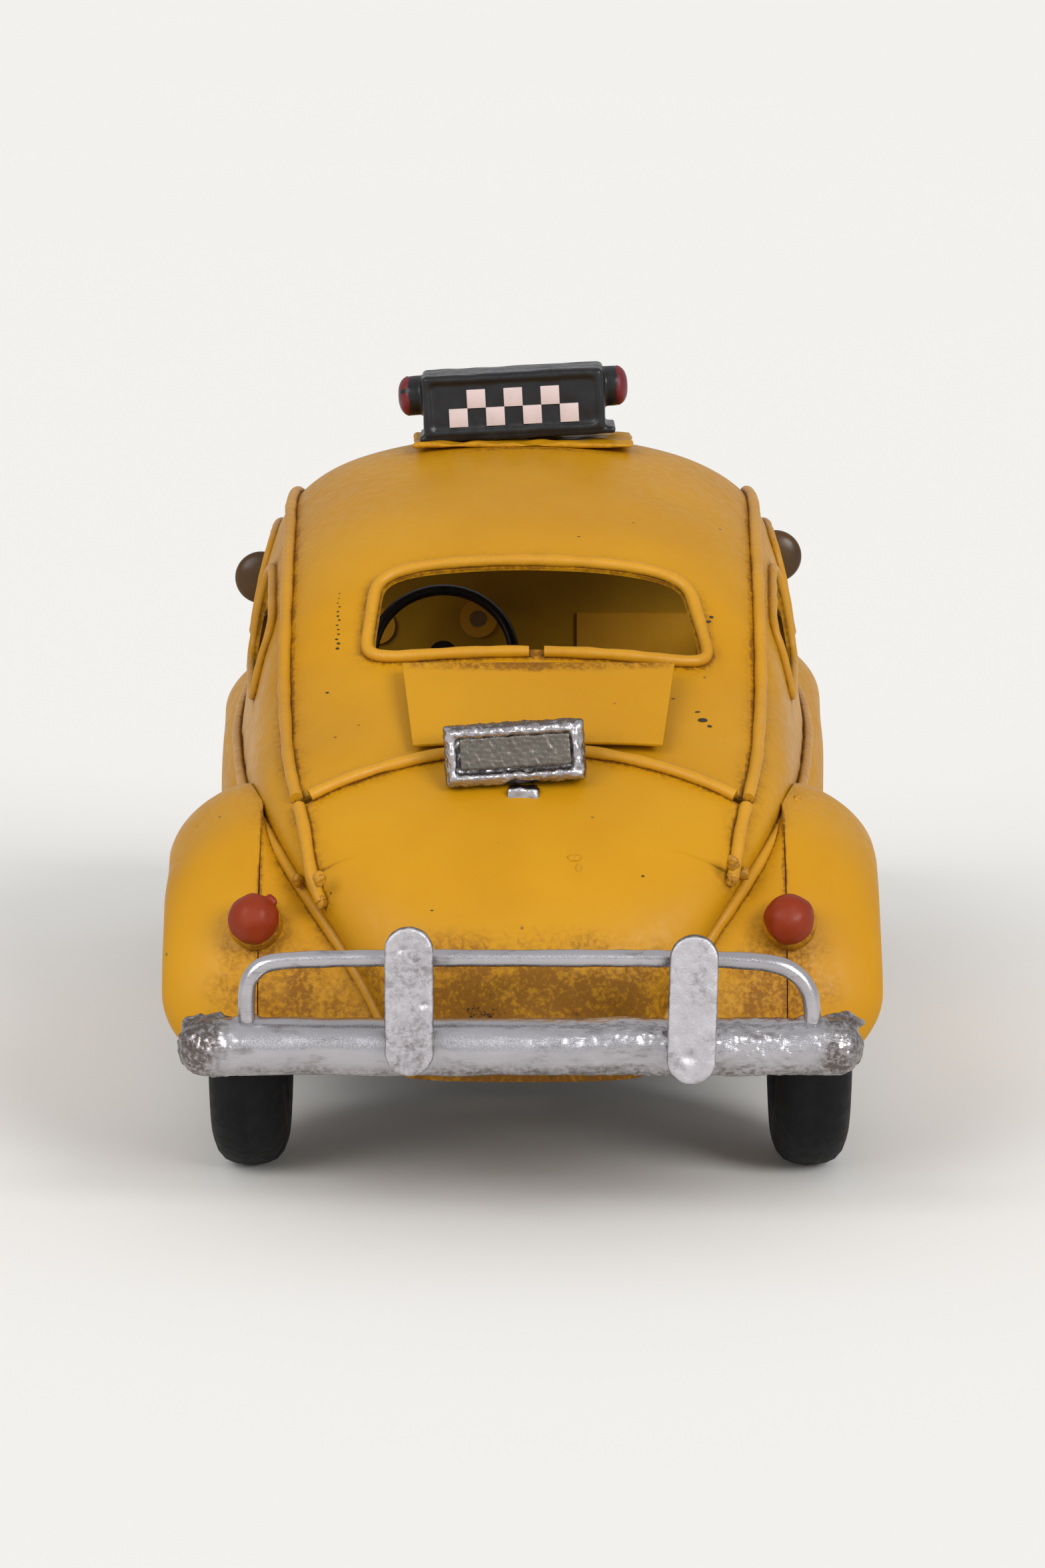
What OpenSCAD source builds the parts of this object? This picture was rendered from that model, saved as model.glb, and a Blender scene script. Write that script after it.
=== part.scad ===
// Friction-drive tin saloon car with a roof sign.
// The rear faces -Y, the front faces +Y, +X is the right-hand side, and the ground is z = 0.

/* [Body shell] */
// Height of the roof crown above the ground
roof_h = 69.2; // [67:0.1:71]
// Half width of the cabin at the belt line, beside the doors
belt_half_w = 31.5; // [31:0.1:32]
// Thickness of the body sheet
sheet = 0.4; // [0.3:0.05:0.5]
// Share of its width that the cabin side leans in from belt to roof
tumblehome = 0.15; // [0.1:0.01:0.2]
// Height of the sills above the ground
sill_z = 11; // [10:0.5:12]
// Diameter of the soldered wire beads
bead_d = 1.3; // [1.0:0.05:1.5]

/* [Wheels] */
// Distance between the two axles
wheelbase = 107; // [105:1:109]
// Distance of the rear axle behind the middle of the car
rear_axle_back = 51; // [50:0.5:52]
// Radius of the tyres
tyre_r = 15.5; // [15:0.1:15.8]
// Width of the tyres
tyre_w = 7.8; // [7:0.1:8]
// Distance of each tyre's middle plane from the car's middle plane
half_track = 28.9; // [28.5:0.1:29.2]
// How far the rear axle has slid to the right in its brackets
rear_axle_slip = 0.8; // [0:0.1:1]
// Diameter of both axles
axle_d = 2.4; // [2:0.1:2.6]

/* [Fenders] */
// Half width of the car over its rear fenders
fender_half_w = 36.4; // [36:0.1:37]
// Half width of the car over its front fenders
front_half_w = 35.9; // [35.5:0.1:36.4]
// How much lower the left front fender is soldered on than the right one
front_fender_sag = 1.6; // [0:0.1:2]
// Radius of the wheel openings
arch_r = 17.2; // [17:0.1:17.6]

/* [Friction drive] */
// Gear module
gear_m = 0.5; // [0.48:0.01:0.5]
// Teeth on the axle gear and on the layshaft gear
gear_teeth = 24; // [22:1:24]
// Teeth on the two pinions
pinion_teeth = 12; // [12:1:13]
// Radius of the flywheel
flywheel_r = 7; // [6:0.1:7]
// Radial clearance of a shaft in its bearing
run_gap = 0.05; // [0.03:0.01:0.08]

/* [Bumpers and trim] */
// Diameter of the bumper tubes
bumper_d = 5.8; // [5:0.1:6]
// Half length of the rear bumper
bumper_half_w = 33.6; // [32:0.1:34.5]
// Radius of the steering wheel's ring, to the middle of the rod
steering_r = 8.2; // [7.5:0.1:8.6]
// Tilt of the roof sign across the car, in degrees
sign_tilt = 3; // [0:0.5:4]

/* [Hidden] */

paint = "goldenrod";
silver = "silver";
rear_axle_y = -rear_axle_back;
front_axle_y = rear_axle_y + wheelbase;
axle_z = tyre_r;

// ---------- curves ----------

// Slope of a curve of [place, value] points at point i.
function slope(p, i) = i <= 0 ? (p[1][1] - p[0][1]) / (p[1][0] - p[0][0])
    : i >= len(p) - 1 ? (p[i][1] - p[i - 1][1]) / (p[i][0] - p[i - 1][0])
    : (p[i + 1][1] - p[i - 1][1]) / (p[i + 1][0] - p[i - 1][0]);
function span_at(p, x, i = 0) = (i >= len(p) - 2 || x < p[i + 1][0]) ? i : span_at(p, x, i + 1);
// Smooth value of the curve at x.
function along(p, x) =
    let (i = span_at(p, x), h = p[i + 1][0] - p[i][0], t = (x - p[i][0]) / h)
    let (a = slope(p, i) * h, b = slope(p, i + 1) * h)
    (2 * t * t * t - 3 * t * t + 1) * p[i][1] + (t * t * t - 2 * t * t + t) * a
    + (3 * t * t - 2 * t * t * t) * p[i + 1][1] + (t * t * t - t * t) * b;
function mix(a, b, t) = a + (b - a) * t;
function unit(v) = v / max(norm(v), 1e-9);

// ---------- the body's surface ----------
// Each rib of the body is an arch. It springs from a foot on the belt line and reaches a crown on
// the middle plane: [crown y, crown z, foot y, foot z, half width, squareness].
ribs = [
    [-79.6, 14.9, -75.9, 14.9, 12.0, 3.0], [-80.0, 20.0, -74.0, 20.0, 13.8, 3.0],
    [-78.0, 27.5, -70.5, 26.0, 17.5, 3.2], [-73.5, 34.0, -66.0, 31.0, 21.5, 3.4],
    [-66.5, 39.4, -60.0, 35.2, 25.0, 3.6], [-57.0, 44.3, -51.0, 37.6, 27.6, 4.0],
    [-48.0, 48.6, -43.0, 38.0, 28.7, 4.6], [-41.2, 52.6, -36.0, 38.0, 29.3, 5.2],
    [-37.0, 56.6, -32.0, 38.0, 29.6, 5.8], [-32.5, 60.3, -28.0, 38.0, 29.9, 6.4],
    [-24.0, 64.2, -20.0, 38.0, 30.4, 7.0], [-12.0, 67.3, -10.0, 38.0, 31.0, 7.0],
    [2.0, 69.2, 2.0, 38.0, 31.4, 7.0], [14.0, 68.5, 14.0, 38.0, 31.5, 7.0],
    [23.0, 66.5, 23.0, 38.0, 31.3, 6.6], [29.5, 63.3, 30.0, 38.0, 30.9, 6.0],
    [34.5, 58.5, 35.0, 38.0, 30.5, 5.4], [39.5, 52.5, 40.0, 38.0, 29.9, 4.8],
    [44.0, 47.6, 45.0, 37.6, 28.9, 4.0], [52.0, 45.4, 53.0, 36.5, 26.0, 3.6],
    [62.0, 41.8, 62.0, 34.0, 22.5, 3.2], [71.0, 36.8, 70.0, 30.0, 19.0, 3.0],
    [78.5, 30.5, 76.0, 25.0, 16.0, 3.0], [83.5, 23.0, 80.0, 19.0, 13.5, 3.0],
    [85.0, 14.0, 81.5, 13.5, 11.5, 3.0]];
lid_rib = 5;
cowl_rib = 18;
nose_rib = 24;
nominal_roof_h = 69.2;
nominal_belt = 31.5;
function rib_curve(k) = [for (i = [0:len(ribs) - 1]) [i, ribs[i][k]]];
crown_y = rib_curve(0);
crown_z = rib_curve(1);
foot_y = rib_curve(2);
foot_z = rib_curve(3);
foot_x = rib_curve(4);
square = rib_curve(5);
function half_w(u) = along(foot_x, u) * belt_half_w / nominal_belt;
// Point on the body's surface: rib u, and angle a from 0 at the right foot to 180 at the left.
function skin(u, a) =
    let (rise = pow(sin(a), 2 / along(square, u)), zf = along(foot_z, u))
    let (top = along(crown_z, u), lift = top > 46 ? (top - 46) / (nominal_roof_h - 46) : 0)
    let (zc = top + (roof_h - nominal_roof_h) * lift)
    [half_w(u) * (1 - tumblehome * rise * min(1, max(0, (zc - zf) / 22))) * cos(a),
        mix(along(foot_y, u), along(crown_y, u), rise), mix(zf, zc, rise)];
// Angle at which rib u stands x away from the middle plane.
function angle_at(u, x, a = 60, n = 14) = n == 0 ? a
    : angle_at(u, x, acos(max(-0.999, min(0.999,
        x / max(0.1, skin(u, a)[0]) * cos(a)))), n - 1);
// Place of the soldered side seams across the body.
seam_x = [[0, 11.3], [1, 13.2], [2, 16.8], [3, 20.4], [4, 22.0], [5, 23.7], [6, 24.4], [7, 24.75],
    [8, 24.8], [9, 24.8], [10, 24.9], [11, 25.1], [12, 25.4], [14, 25.0], [15, 24.3], [16, 24.0],
    [17, 23.9], [18, 23.8]];
function seam_angle(u) = angle_at(u, along(seam_x, u));
// Rib along which the engine lid's upper edge runs, from its middle to the seams.
function lid_edge(a) = lid_rib - 0.65 * pow(cos(a) / cos(seam_angle(lid_rib)), 2);

// Height of the body's lower edge, which sweeps up at the tail and arches over the wheels.
body_arch_r = 18;
function arch_z(d) = abs(d) < body_arch_r ? axle_z + sqrt(body_arch_r * body_arch_r - d * d) : 0;
function sill_at(y) = max(sill_z + 0.3 * max(0, rear_axle_y - y), arch_z(y - rear_axle_y),
    arch_z(y - front_axle_y));

// ---------- sheet metal ----------

function normal_at(g, i, j) =
    let (i0 = max(i - 1, 0), i1 = min(i + 1, len(g) - 1))
    let (j0 = max(j - 1, 0), j1 = min(j + 1, len(g[0]) - 1))
    unit(cross(g[i1][j] - g[i0][j], g[i][j1] - g[i][j0]));
function in_hole(holes, i, j) =
    len([for (h = holes) if (i >= h[0] && i < h[1] && j >= h[2] && j < h[3]) 1]) > 0;
// A sheet of even thickness on a grid of points, open where a hole's rows and columns say.
// side = 1 puts the thickness on the side that the grid's normal leaves.
module tin(grid, holes = [], side = 1, gauge = sheet) {
    n = len(grid);
    m = len(grid[0]);
    back = [for (i = [0:n - 1]) [for (j = [0:m - 1]) grid[i][j] - side * gauge * normal_at(grid, i, j)]];
    function shut(i, j) = i >= 0 && j >= 0 && i < n - 1 && j < m - 1 && !in_hole(holes, i, j);
    function f(i, j) = i * m + j;
    function b(i, j) = n * m + i * m + j;
    faces = [for (i = [0:n - 2]) for (j = [0:m - 2]) if (shut(i, j)) each concat(
        [[f(i, j), f(i + 1, j), f(i + 1, j + 1)], [f(i, j), f(i + 1, j + 1), f(i, j + 1)],
        [b(i, j), b(i + 1, j + 1), b(i + 1, j)], [b(i, j), b(i, j + 1), b(i + 1, j + 1)]],
        shut(i - 1, j) ? [] : [[f(i, j), f(i, j + 1), b(i, j + 1)], [f(i, j), b(i, j + 1), b(i, j)]],
        shut(i + 1, j) ? [] : [[f(i + 1, j + 1), f(i + 1, j), b(i + 1, j)],
            [f(i + 1, j + 1), b(i + 1, j), b(i + 1, j + 1)]],
        shut(i, j - 1) ? [] : [[f(i + 1, j), f(i, j), b(i, j)], [f(i + 1, j), b(i, j), b(i + 1, j)]],
        shut(i, j + 1) ? [] : [[f(i, j + 1), f(i + 1, j + 1), b(i + 1, j + 1)],
            [f(i, j + 1), b(i + 1, j + 1), b(i, j + 1)]])];
    polyhedron([for (g = [grid, back]) for (row = g) each row],
        side > 0 ? [for (t = faces) [t[2], t[1], t[0]]] : faces);
}
// Evenly spaced places, from a up to but not including b.
function steps(a, b, n) = [for (k = [0:n - 1]) mix(a, b, k / n)];

// ---------- wire ----------

wire_sides = 8;
function way_at(path, i, closed) = let (n = len(path))
    unit(closed ? path[(i + 1) % n] - path[(i + n - 1) % n]
        : path[min(i + 1, n - 1)] - path[max(i - 1, 0)]);
// A round wire along a path of points.
module wire(path, d = bead_d, closed = false, up = [0, 0.31, 0.95]) {
    n = len(path);
    k = wire_sides;
    points = [for (i = [0:n - 1])
        let (t = way_at(path, i, closed), s = unit(cross(t, up)), r = cross(s, t))
        for (j = [0:k - 1]) path[i] + d / 2 * (cos(360 * j / k) * s + sin(360 * j / k) * r)];
    walls = [for (i = [0:n - (closed ? 1 : 2)]) for (j = [0:k - 1])
        let (i1 = (i + 1) % n, j1 = (j + 1) % k)
        each [[i * k + j, i1 * k + j1, i1 * k + j], [i * k + j, i * k + j1, i1 * k + j1]]];
    ends = closed ? [] : [[for (j = [0:k - 1]) k - 1 - j], [for (j = [0:k - 1]) (n - 1) * k + j]];
    polyhedron(points, concat(walls, ends));
}
// Body point lifted by h along the surface's normal.
function proud(u, a, h) =
    let (du = skin(min(u + 0.05, nose_rib), a) - skin(max(u - 0.05, 0), a))
    let (da = skin(u, min(a + 1, 179.9)) - skin(u, max(a - 1, 0.1)))
    skin(u, a) + h * unit(cross(du, da));
bead_lift = bead_d * 0.3;

module both_sides() {
    children();
    mirror([1, 0, 0]) children();
}

// ---------- body panels ----------

pane_u = [6.95, 8.9];
pane_x = [-15.6, 17.9];
screen_u = [15.15, 17.35];
screen_x = 20.5;
function pane_left(u) = u < 9 ? pane_x[0] : mix(pane_x[0], -screen_x, min(1, (u - 9) / 6));
function pane_right(u) = u < 9 ? pane_x[1] : mix(pane_x[1], screen_x, min(1, (u - 9) / 6));
module roof_and_rear_panel() {
    rows = concat(steps(0, pane_u[0], 3), steps(pane_u[0], pane_u[1], 4),
        steps(pane_u[1], screen_u[0], 12), steps(screen_u[0], screen_u[1], 4),
        steps(screen_u[1], cowl_rib, 2), [cowl_rib]);
    grid = [for (i = [0:len(rows) - 1])
        let (u0 = max(rows[i], lid_rib), s = along(seam_x, u0) - 0.05)
        let (cols = concat(steps(s, pane_right(u0), 5), steps(pane_right(u0), pane_left(u0), 14),
            steps(pane_left(u0), -s, 5), [-s]))
        [for (x = cols) let (side = x < 0 ? -1 : 1, a0 = angle_at(u0, abs(x)))
            let (a = side < 0 ? 180 - a0 : a0, low = lid_edge(a) + 0.04)
            let (u = i < 3 ? mix(low, pane_u[0], i / 3) : rows[i])
            let (ax = angle_at(u, min(abs(x), along(seam_x, u) - 0.05)))
            skin(u, side < 0 ? 180 - ax : ax)]];
    color(paint) tin(grid, [[3, 7, 5, 19], [19, 23, 5, 19]], -1);
}

quarter_u = [9.3, 11.0];
door_u = [11.9, 14.7];
side_glass = 0.3;
glass_top = 0.85;
module side_panel() {
    rows = concat(steps(3, quarter_u[0], 16), steps(quarter_u[0], quarter_u[1], 3),
        steps(quarter_u[1], door_u[0], 2), steps(door_u[0], door_u[1], 5),
        steps(door_u[1], cowl_rib, 6), [cowl_rib]);
    grid = [for (u = rows)
        let (foot = skin(u, 0), as = seam_angle(u) - 0.1, top = sin(as))
        let (e = along(square, u) / 2, rs = pow(top, 1 / e))
        let (b0 = min(side_glass, rs * 0.4), b1 = rs * glass_top)
        concat([for (z = steps(sill_at(foot[1]), foot[2], 4)) [foot[0] - 0.0035 * pow(foot[2] - z, 2), foot[1], z]],
            [for (b = concat(steps(0, b0, 2), steps(b0, b1, 5), steps(b1, rs, 3), [rs]))
                skin(u, asin(pow(b, e)))])];
    color(paint) tin(grid, [[16, 19, 6, 11], [21, 26, 6, 11]], 1);
}
module right_side_panel() { side_panel(); }
module left_side_panel() { mirror([1, 0, 0]) side_panel(); }

module engine_lid() {
    n = 12;
    m = 18;
    grid = [for (i = [0:n]) [for (j = [0:m])
        let (t = i / n, u0 = mix(0, lid_rib, t))
        let (a0 = mix(seam_angle(min(u0, 4.1)), 180 - seam_angle(min(u0, 4.1)), j / m))
        skin(mix(0, lid_edge(a0) - 0.04, t), a0)]];
    color(paint) tin(grid, [], -1);
}

module bonnet() {
    n = 14;
    m = 20;
    grid = [for (i = [0:n]) let (u = mix(cowl_rib + 0.03, nose_rib, i / n))
        [for (j = [0:m]) skin(u, mix(1, 179, j / m))]];
    skirt = [for (i = [0:n]) let (u = mix(cowl_rib + 0.03, nose_rib, i / n), p = skin(u, 1))
        let (low = sill_at(p[1]))
        [for (z = [low, mix(low, p[2], 0.5), p[2]]) [p[0], p[1], z]]];
    color(paint) tin([for (i = [0:n]) concat([skirt[i][0], skirt[i][1]], grid[i],
        [for (k = [1, 0]) [-skirt[i][k][0], skirt[i][k][1], skirt[i][k][2]]])],
        [], -1);
}

// ---------- fenders and running boards ----------

// Radius of each fender round its wheel, by angle: 0 faces the front, 90 is up, 180 faces back.
rear_fender_r = [[-12, 28.0], [20, 26.0], [60, 24.4], [90, 24.0], [120, 23.2], [150, 21.8],
    [181, 21.0]];
front_fender_r = [[-10, 23.2], [30, 24.2], [60, 24.8], [90, 25.2], [120, 26.2], [150, 28.2],
    [175, 29.6], [190, 30.0]];
fender_inner_x = 26.6;
// How far a rear fender's lip turns in at its lower tail corner.
tail_tuck = 3;
front_inner_x = 12;
fender_round = 1.6;
// Half width of the body's side at a place along the car, level with the feet of its ribs.
function foot_rib(y, lo = 0, hi = 24, n = 16) = n == 0 ? (lo + hi) / 2
    : along(foot_y, (lo + hi) / 2) < y ? foot_rib(y, (lo + hi) / 2, hi, n - 1)
    : foot_rib(y, lo, (lo + hi) / 2, n - 1);
function side_x(y) = half_w(foot_rib(max(-76, min(82, y))));
// Point on a fender: angle t round the wheel, and s from 0 at its inner edge to 1 at its lip.
function fender_point(radii, cy, inner, outer, t, s) =
    let (r0 = along(radii, t), c = cos(90 * s), k = sin(90 * s))
    let (r = arch_r + (r0 - arch_r) * pow(c, 2 / fender_round))
    let (x0 = max(inner, side_x(cy + r0 * cos(t)) + 0.12))
    [mix(x0, outer, pow(k, 2 / fender_round)), cy + r * cos(t), axle_z + r * sin(t)];
module fender(radii, cy, inner, outer, tuck = 0) {
    n = 22;
    m = 9;
    first = radii[0][0];
    last = radii[len(radii) - 1][0];
    color(paint) tin([for (i = [0:n]) let (t = mix(first, last, i / n))
        let (lip = outer - tuck * pow(max(0, t - 160) / (last - 160), 2)) [for (j = [0:m])
            fender_point(radii, cy, inner, lip, t, 1 - pow(1 - j / m, 1.3))]], [], 1);
}
module right_rear_fender() { fender(rear_fender_r, rear_axle_y, fender_inner_x, fender_half_w, tail_tuck); }
module left_rear_fender() { mirror([1, 0, 0]) right_rear_fender(); }
module right_front_fender() { fender(front_fender_r, front_axle_y, front_inner_x, front_half_w); }
module left_front_fender() {
    translate([0, 0, -front_fender_sag]) mirror([1, 0, 0]) right_front_fender();
}

// Sheet that closes the space between a rear fender's inner edge and the tail.
module gusset() {
    n = 12;
    color(paint) tin([for (i = [0:n])
        let (t = mix(102, 181, i / n), u = mix(4.6, 0.1, pow(i / n, 0.9)))
        let (p = fender_point(rear_fender_r, rear_axle_y, fender_inner_x, fender_half_w, t, 0))
        let (q = skin(u, 0))
        [for (j = [0:4]) mix(p - [0.12, 0, 0], q + [0.15, -0.15, 0], j / 4)]], [], -1);
}
module right_rear_gusset() { gusset(); }
module left_rear_gusset() { mirror([1, 0, 0]) gusset(); }

board_z = 11.8;
board_line = [[-24.5, 0], [-10, 0], [5, 0], [20, 0], [24.2, 0.4], [26.0, 3], [27.4, 8], [30.2, 13.6],
    [32.4, 17.2]];
board_gauge = 0.8;
module running_board() {
    n = len(board_line) - 1;
    color(silver) tin([for (i = [0:n])
        let (y = board_line[i][0], x0 = side_x(y) + 0.15, lift = board_line[i][1])
        let (x1 = mix(35.6, x0 + 0.8, max(0, lift - 3) / 14.2))
        [for (j = [0:3]) [mix(x0, x1, j / 3), y - 0.9 * min(1, lift / 3), board_z + lift]]],
        [], -1, board_gauge);
}
module right_running_board() { running_board(); }
module left_running_board() { mirror([1, 0, 0]) running_board(); }

// ---------- beads and applied trim ----------

function pane_edge(u0, u1, xl, xr) = concat(
    [for (x = steps(xl, xr, 12)) [u0, x]], [for (u = steps(u0, u1, 5)) [u, xr]],
    [for (x = steps(xr, xl, 12)) [u1, x]], [for (u = steps(u1, u0, 5)) [u, xl]]);
function on_top(u, x, h) = let (a = angle_at(u, abs(x))) proud(u, x < 0 ? 180 - a : a, h);
module rear_window_bead() {
    edge = pane_edge(pane_u[0] - 0.1, pane_u[1] + 0.1, pane_x[0] - 0.6, pane_x[1] + 0.6);
    color(paint) wire([for (e = edge) on_top(e[0], e[1], bead_lift)], closed = true);
}
module windscreen_bead() {
    edge = pane_edge(screen_u[0] - 0.1, screen_u[1] + 0.1, -screen_x - 0.6, screen_x + 0.6);
    color(paint) wire([for (e = edge) on_top(e[0], e[1], bead_lift)], closed = true);
}
module side_seam_beads() {
    both_sides() color(paint) wire([for (u = steps(3.0, 13.4, 26)) proud(u, seam_angle(u), bead_lift)],
        up = [1, 0, 0]);
}
module lid_arc_bead() {
    sa = seam_angle(lid_rib) + 6;
    color(paint) wire([for (k = [0:20]) let (a = mix(sa, 180 - sa, k / 20))
        proud(lid_edge(a), a, bead_lift)]);
}
module fender_beads() {
    both_sides() color(paint) wire([for (u = steps(0.8, 4.9, 14))
        let (p = skin(u, 0)) p + [0.35, -0.55, 0.35]], up = [1, 0, 0]);
}
module side_window_beads() {
    lip = 0.03;
    function top(u) = glass_top * pow(sin(seam_angle(u)), 2 / along(square, u)) + lip;
    function high(u, t) = let (b = mix(side_glass - lip, top(u), t))
        proud(u, asin(pow(b, along(square, u) / 2)), bead_lift * 0.4);
    both_sides() color(paint) for (pane = [quarter_u, door_u]) wire(concat(
        [for (u = steps(pane[0] - 0.12, pane[1] + 0.12, 6)) high(u, 0)],
        [for (t = steps(0, 1, 5)) high(pane[1] + 0.12, t)],
        [for (u = steps(pane[1] + 0.12, pane[0] - 0.12, 6)) high(u, 1)],
        [for (t = steps(1, 0, 5)) high(pane[0] - 0.12, t)]),
        d = bead_d * 0.8, closed = true, up = [1, 0, 0]);
}
module belt_beads() {
    both_sides() color(paint) wire([for (u = steps(5.6, 18.0, 22)) skin(u, 0) + [bead_lift, 0, 0]],
        d = bead_d * 0.9, up = [1, 0, 0]);
}

plate_top = [1.4, -45.2, 51.5];
plate_bottom = [1.4, -57.4, 45.2];
module louvre_plate() {
    run = plate_top - plate_bottom;
    h = norm(run);
    color(paint) translate(plate_top) rotate([180 + atan2(run[2], run[1]), 0, 0])
        linear_extrude(sheet, center = true)
            polygon([[-13.9, 0], [14.4, 0], [12.9, h], [-12.6, h]]);
}

lamp_at = [-0.8, -61.9, 45.0];
lamp_size = [15.0, 3.2, 6.8];
module licence_lamp_housing() {
    color(silver) translate(lamp_at) rotate([-6, -3.5, 0]) difference() {
        cube(lamp_size, center = true);
        translate([0, -lamp_size[1] / 2, 0.2]) cube([12.4, 1.0, 4.4], center = true);
    }
}
module licence_lamp_tab() {
    color(silver) translate(lamp_at + [0.9, -1.2, -4.3]) cube([3.2, 2.4, 2.0], center = true);
}

// ---------- lamps ----------

tail_lamp = [26.8, -69.6, 29.0];
lamp_pitch = -18;
module tail_lamp_bases() {
    both_sides() color(paint) translate(tail_lamp) rotate([90 + lamp_pitch, 0, 0])
        cylinder(h = 3.2, r = 2.55, center = true, $fn = 48);
}
module tail_lamp_domes() {
    both_sides() color("firebrick") translate(tail_lamp) rotate([90 + lamp_pitch, 0, 0])
        translate([0, 0, 1.6]) rotate_extrude($fn = 48) difference() {
            circle(r = 2.7, $fn = 48);
            translate([-3, -3]) square([3, 6]);
            translate([-3, -3]) square([6, 3]);
        }
}
headlamp = [29.6, 74.5, 30.5];
headlamp_r = 4.2;
module headlamp_rims() {
    both_sides() color(silver) translate(headlamp) rotate([-82, 0, 0]) difference() {
        cylinder(h = 7, r = headlamp_r, center = true, $fn = 48);
        translate([0, 0, 1.5]) cylinder(h = 7, r = headlamp_r - 0.7, $fn = 48);
    }
}
module headlamp_lenses() {
    both_sides() color("ivory") translate(headlamp) rotate([-82, 0, 0]) translate([0, 0, 1.5])
        cylinder(h = 1.6, r = headlamp_r - 0.7, $fn = 48);
}

// ---------- roof sign ----------

sign_y = 4;
sign_foot_z = roof_h - 0.2;
box_size = [20.6, 8.4, 7.0];
end_lamp_d = 4.5;
module sign_frame() {
    translate([-0.8, sign_y, sign_foot_z + 0.6]) rotate([0, -sign_tilt, 0]) children();
}
module sign_base() {
    color(paint) translate([0.1, sign_y, sign_foot_z - 0.3]) linear_extrude(0.8) hull()
        for (x = [-1, 1]) for (y = [-1, 1]) translate([x * 10.8, y * 4.2]) circle(r = 1.6, $fn = 24);
}
module sign_box() {
    color("black") sign_frame() translate([0, 0, box_size[2] / 2 + 0.5]) cube(box_size, center = true);
}
// Rounded lamps that stick out of both ends of the sign's box, near its top.
module on_sign_ends() {
    sign_frame() for (s = [-1, 1])
        translate([s * box_size[0] / 2, 0, box_size[2] + 0.3 - end_lamp_d / 2]) rotate([0, s * 90, 0]) children();
}
end_lamp_len = 1.9;
module sign_end_lamps() {
    color("black") on_sign_ends() cylinder(h = end_lamp_len, d = end_lamp_d, $fn = 40);
}
module sign_lamp_caps() {
    color("maroon") on_sign_ends() translate([0, 0, end_lamp_len]) rotate_extrude($fn = 40) intersection() {
        scale([1, 0.36]) circle(d = end_lamp_d, $fn = 40);
        square(end_lamp_d);
    }
}

// ---------- bumpers ----------

bumper_z = 20.0;
rear_bumper_y = -86.2;
front_bumper_y = 91 - bumper_d / 2;
module bumper_tube() {
    color(silver) rotate([0, 90, 0]) {
        cylinder(h = 2 * bumper_half_w - bumper_d, d = bumper_d, center = true, $fn = 48);
        for (x = [-1, 1]) translate([0, 0, x * (bumper_half_w - bumper_d / 2)])
            sphere(d = bumper_d, $fn = 48);
    }
}
module rear_bumper_tube() { translate([-0.2, rear_bumper_y, bumper_z]) bumper_tube(); }
module front_bumper_tube() { translate([0, front_bumper_y, bumper_z - 2]) bumper_tube(); }
bracket_x = 24;
module rear_bumper_brackets() {
    start = rear_bumper_y + 1.8;
    both_sides() color(silver) translate([bracket_x, start, bumper_z - 3.2]) cube([4, -70.8 - start, 2.4]);
}
module front_bumper_brackets() {
    both_sides() color(silver) translate([bracket_x - 14, 81, bumper_z - 3.2])
        cube([4, front_bumper_y - bumper_d / 2 - 81 + 0.4, 2.4]);
}
rail_z = 28.2;
rail_x = 27.6;
module rear_bumper_rail() {
    foot = [rail_x, rear_bumper_y - 0.4, bumper_z + bumper_d / 2 - 0.3];
    half = [foot, foot + [0, 0, 3.2], foot + [-0.5, 0, 5.2], foot + [-2.2, 0, 5.9], [rail_x - 6, foot[1], rail_z + 0.2],
        [rail_x - 14, foot[1], rail_z + 0.3]];
    n = len(half) - 1;
    color(silver) wire(concat([for (p = half) p], [[0, foot[1], rail_z + 0.35]],
        [for (i = [n:-1:0]) [-half[i][0], half[i][1], half[i][2]]]), d = 1.7, up = [0, 1, 0.02]);
}
// Middle of each overrider: across the car, and above the ground.
overriders = [[-11.0, 25.4], [16.5, 24.6]];
overrider_gauge = 1.2;
tail_y = -91;
module rear_overriders() {
    for (p = overriders) color(silver)
        translate([p[0], tail_y + overrider_gauge, p[1]]) rotate([90, 0, 0]) linear_extrude(overrider_gauge) hull()
            for (z = [-1, 1]) translate([0, z * 5.0]) circle(r = 2.4, $fn = 32);
}

// ---------- mirrors ----------

mirror_at = [[-30.4, 30.0, 49.9], [29.4, 30.0, 52.4]];
// A round rod from a to b.
module rod(a, b, d) {
    v = b - a;
    translate(a) rotate([0, acos(v[2] / norm(v)), atan2(v[1], v[0])]) cylinder(h = norm(v), d = d, $fn = 24);
}
module door_mirror(p) {
    s = sign(p[0]);
    color("dimgray") translate(p) rotate([84, 0, 0]) cylinder(h = 1.2, r = 3.1, center = true, $fn = 40);
    color("dimgray") rod([s * (abs(p[0]) - 0.1), p[1] + 1.9, p[2] - 5.2], p + [0, 0.2, -2.2], 0.9);
}
module left_mirror() { door_mirror(mirror_at[0]); }
module right_mirror() { door_mirror(mirror_at[1]); }

// ---------- interior ----------

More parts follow.
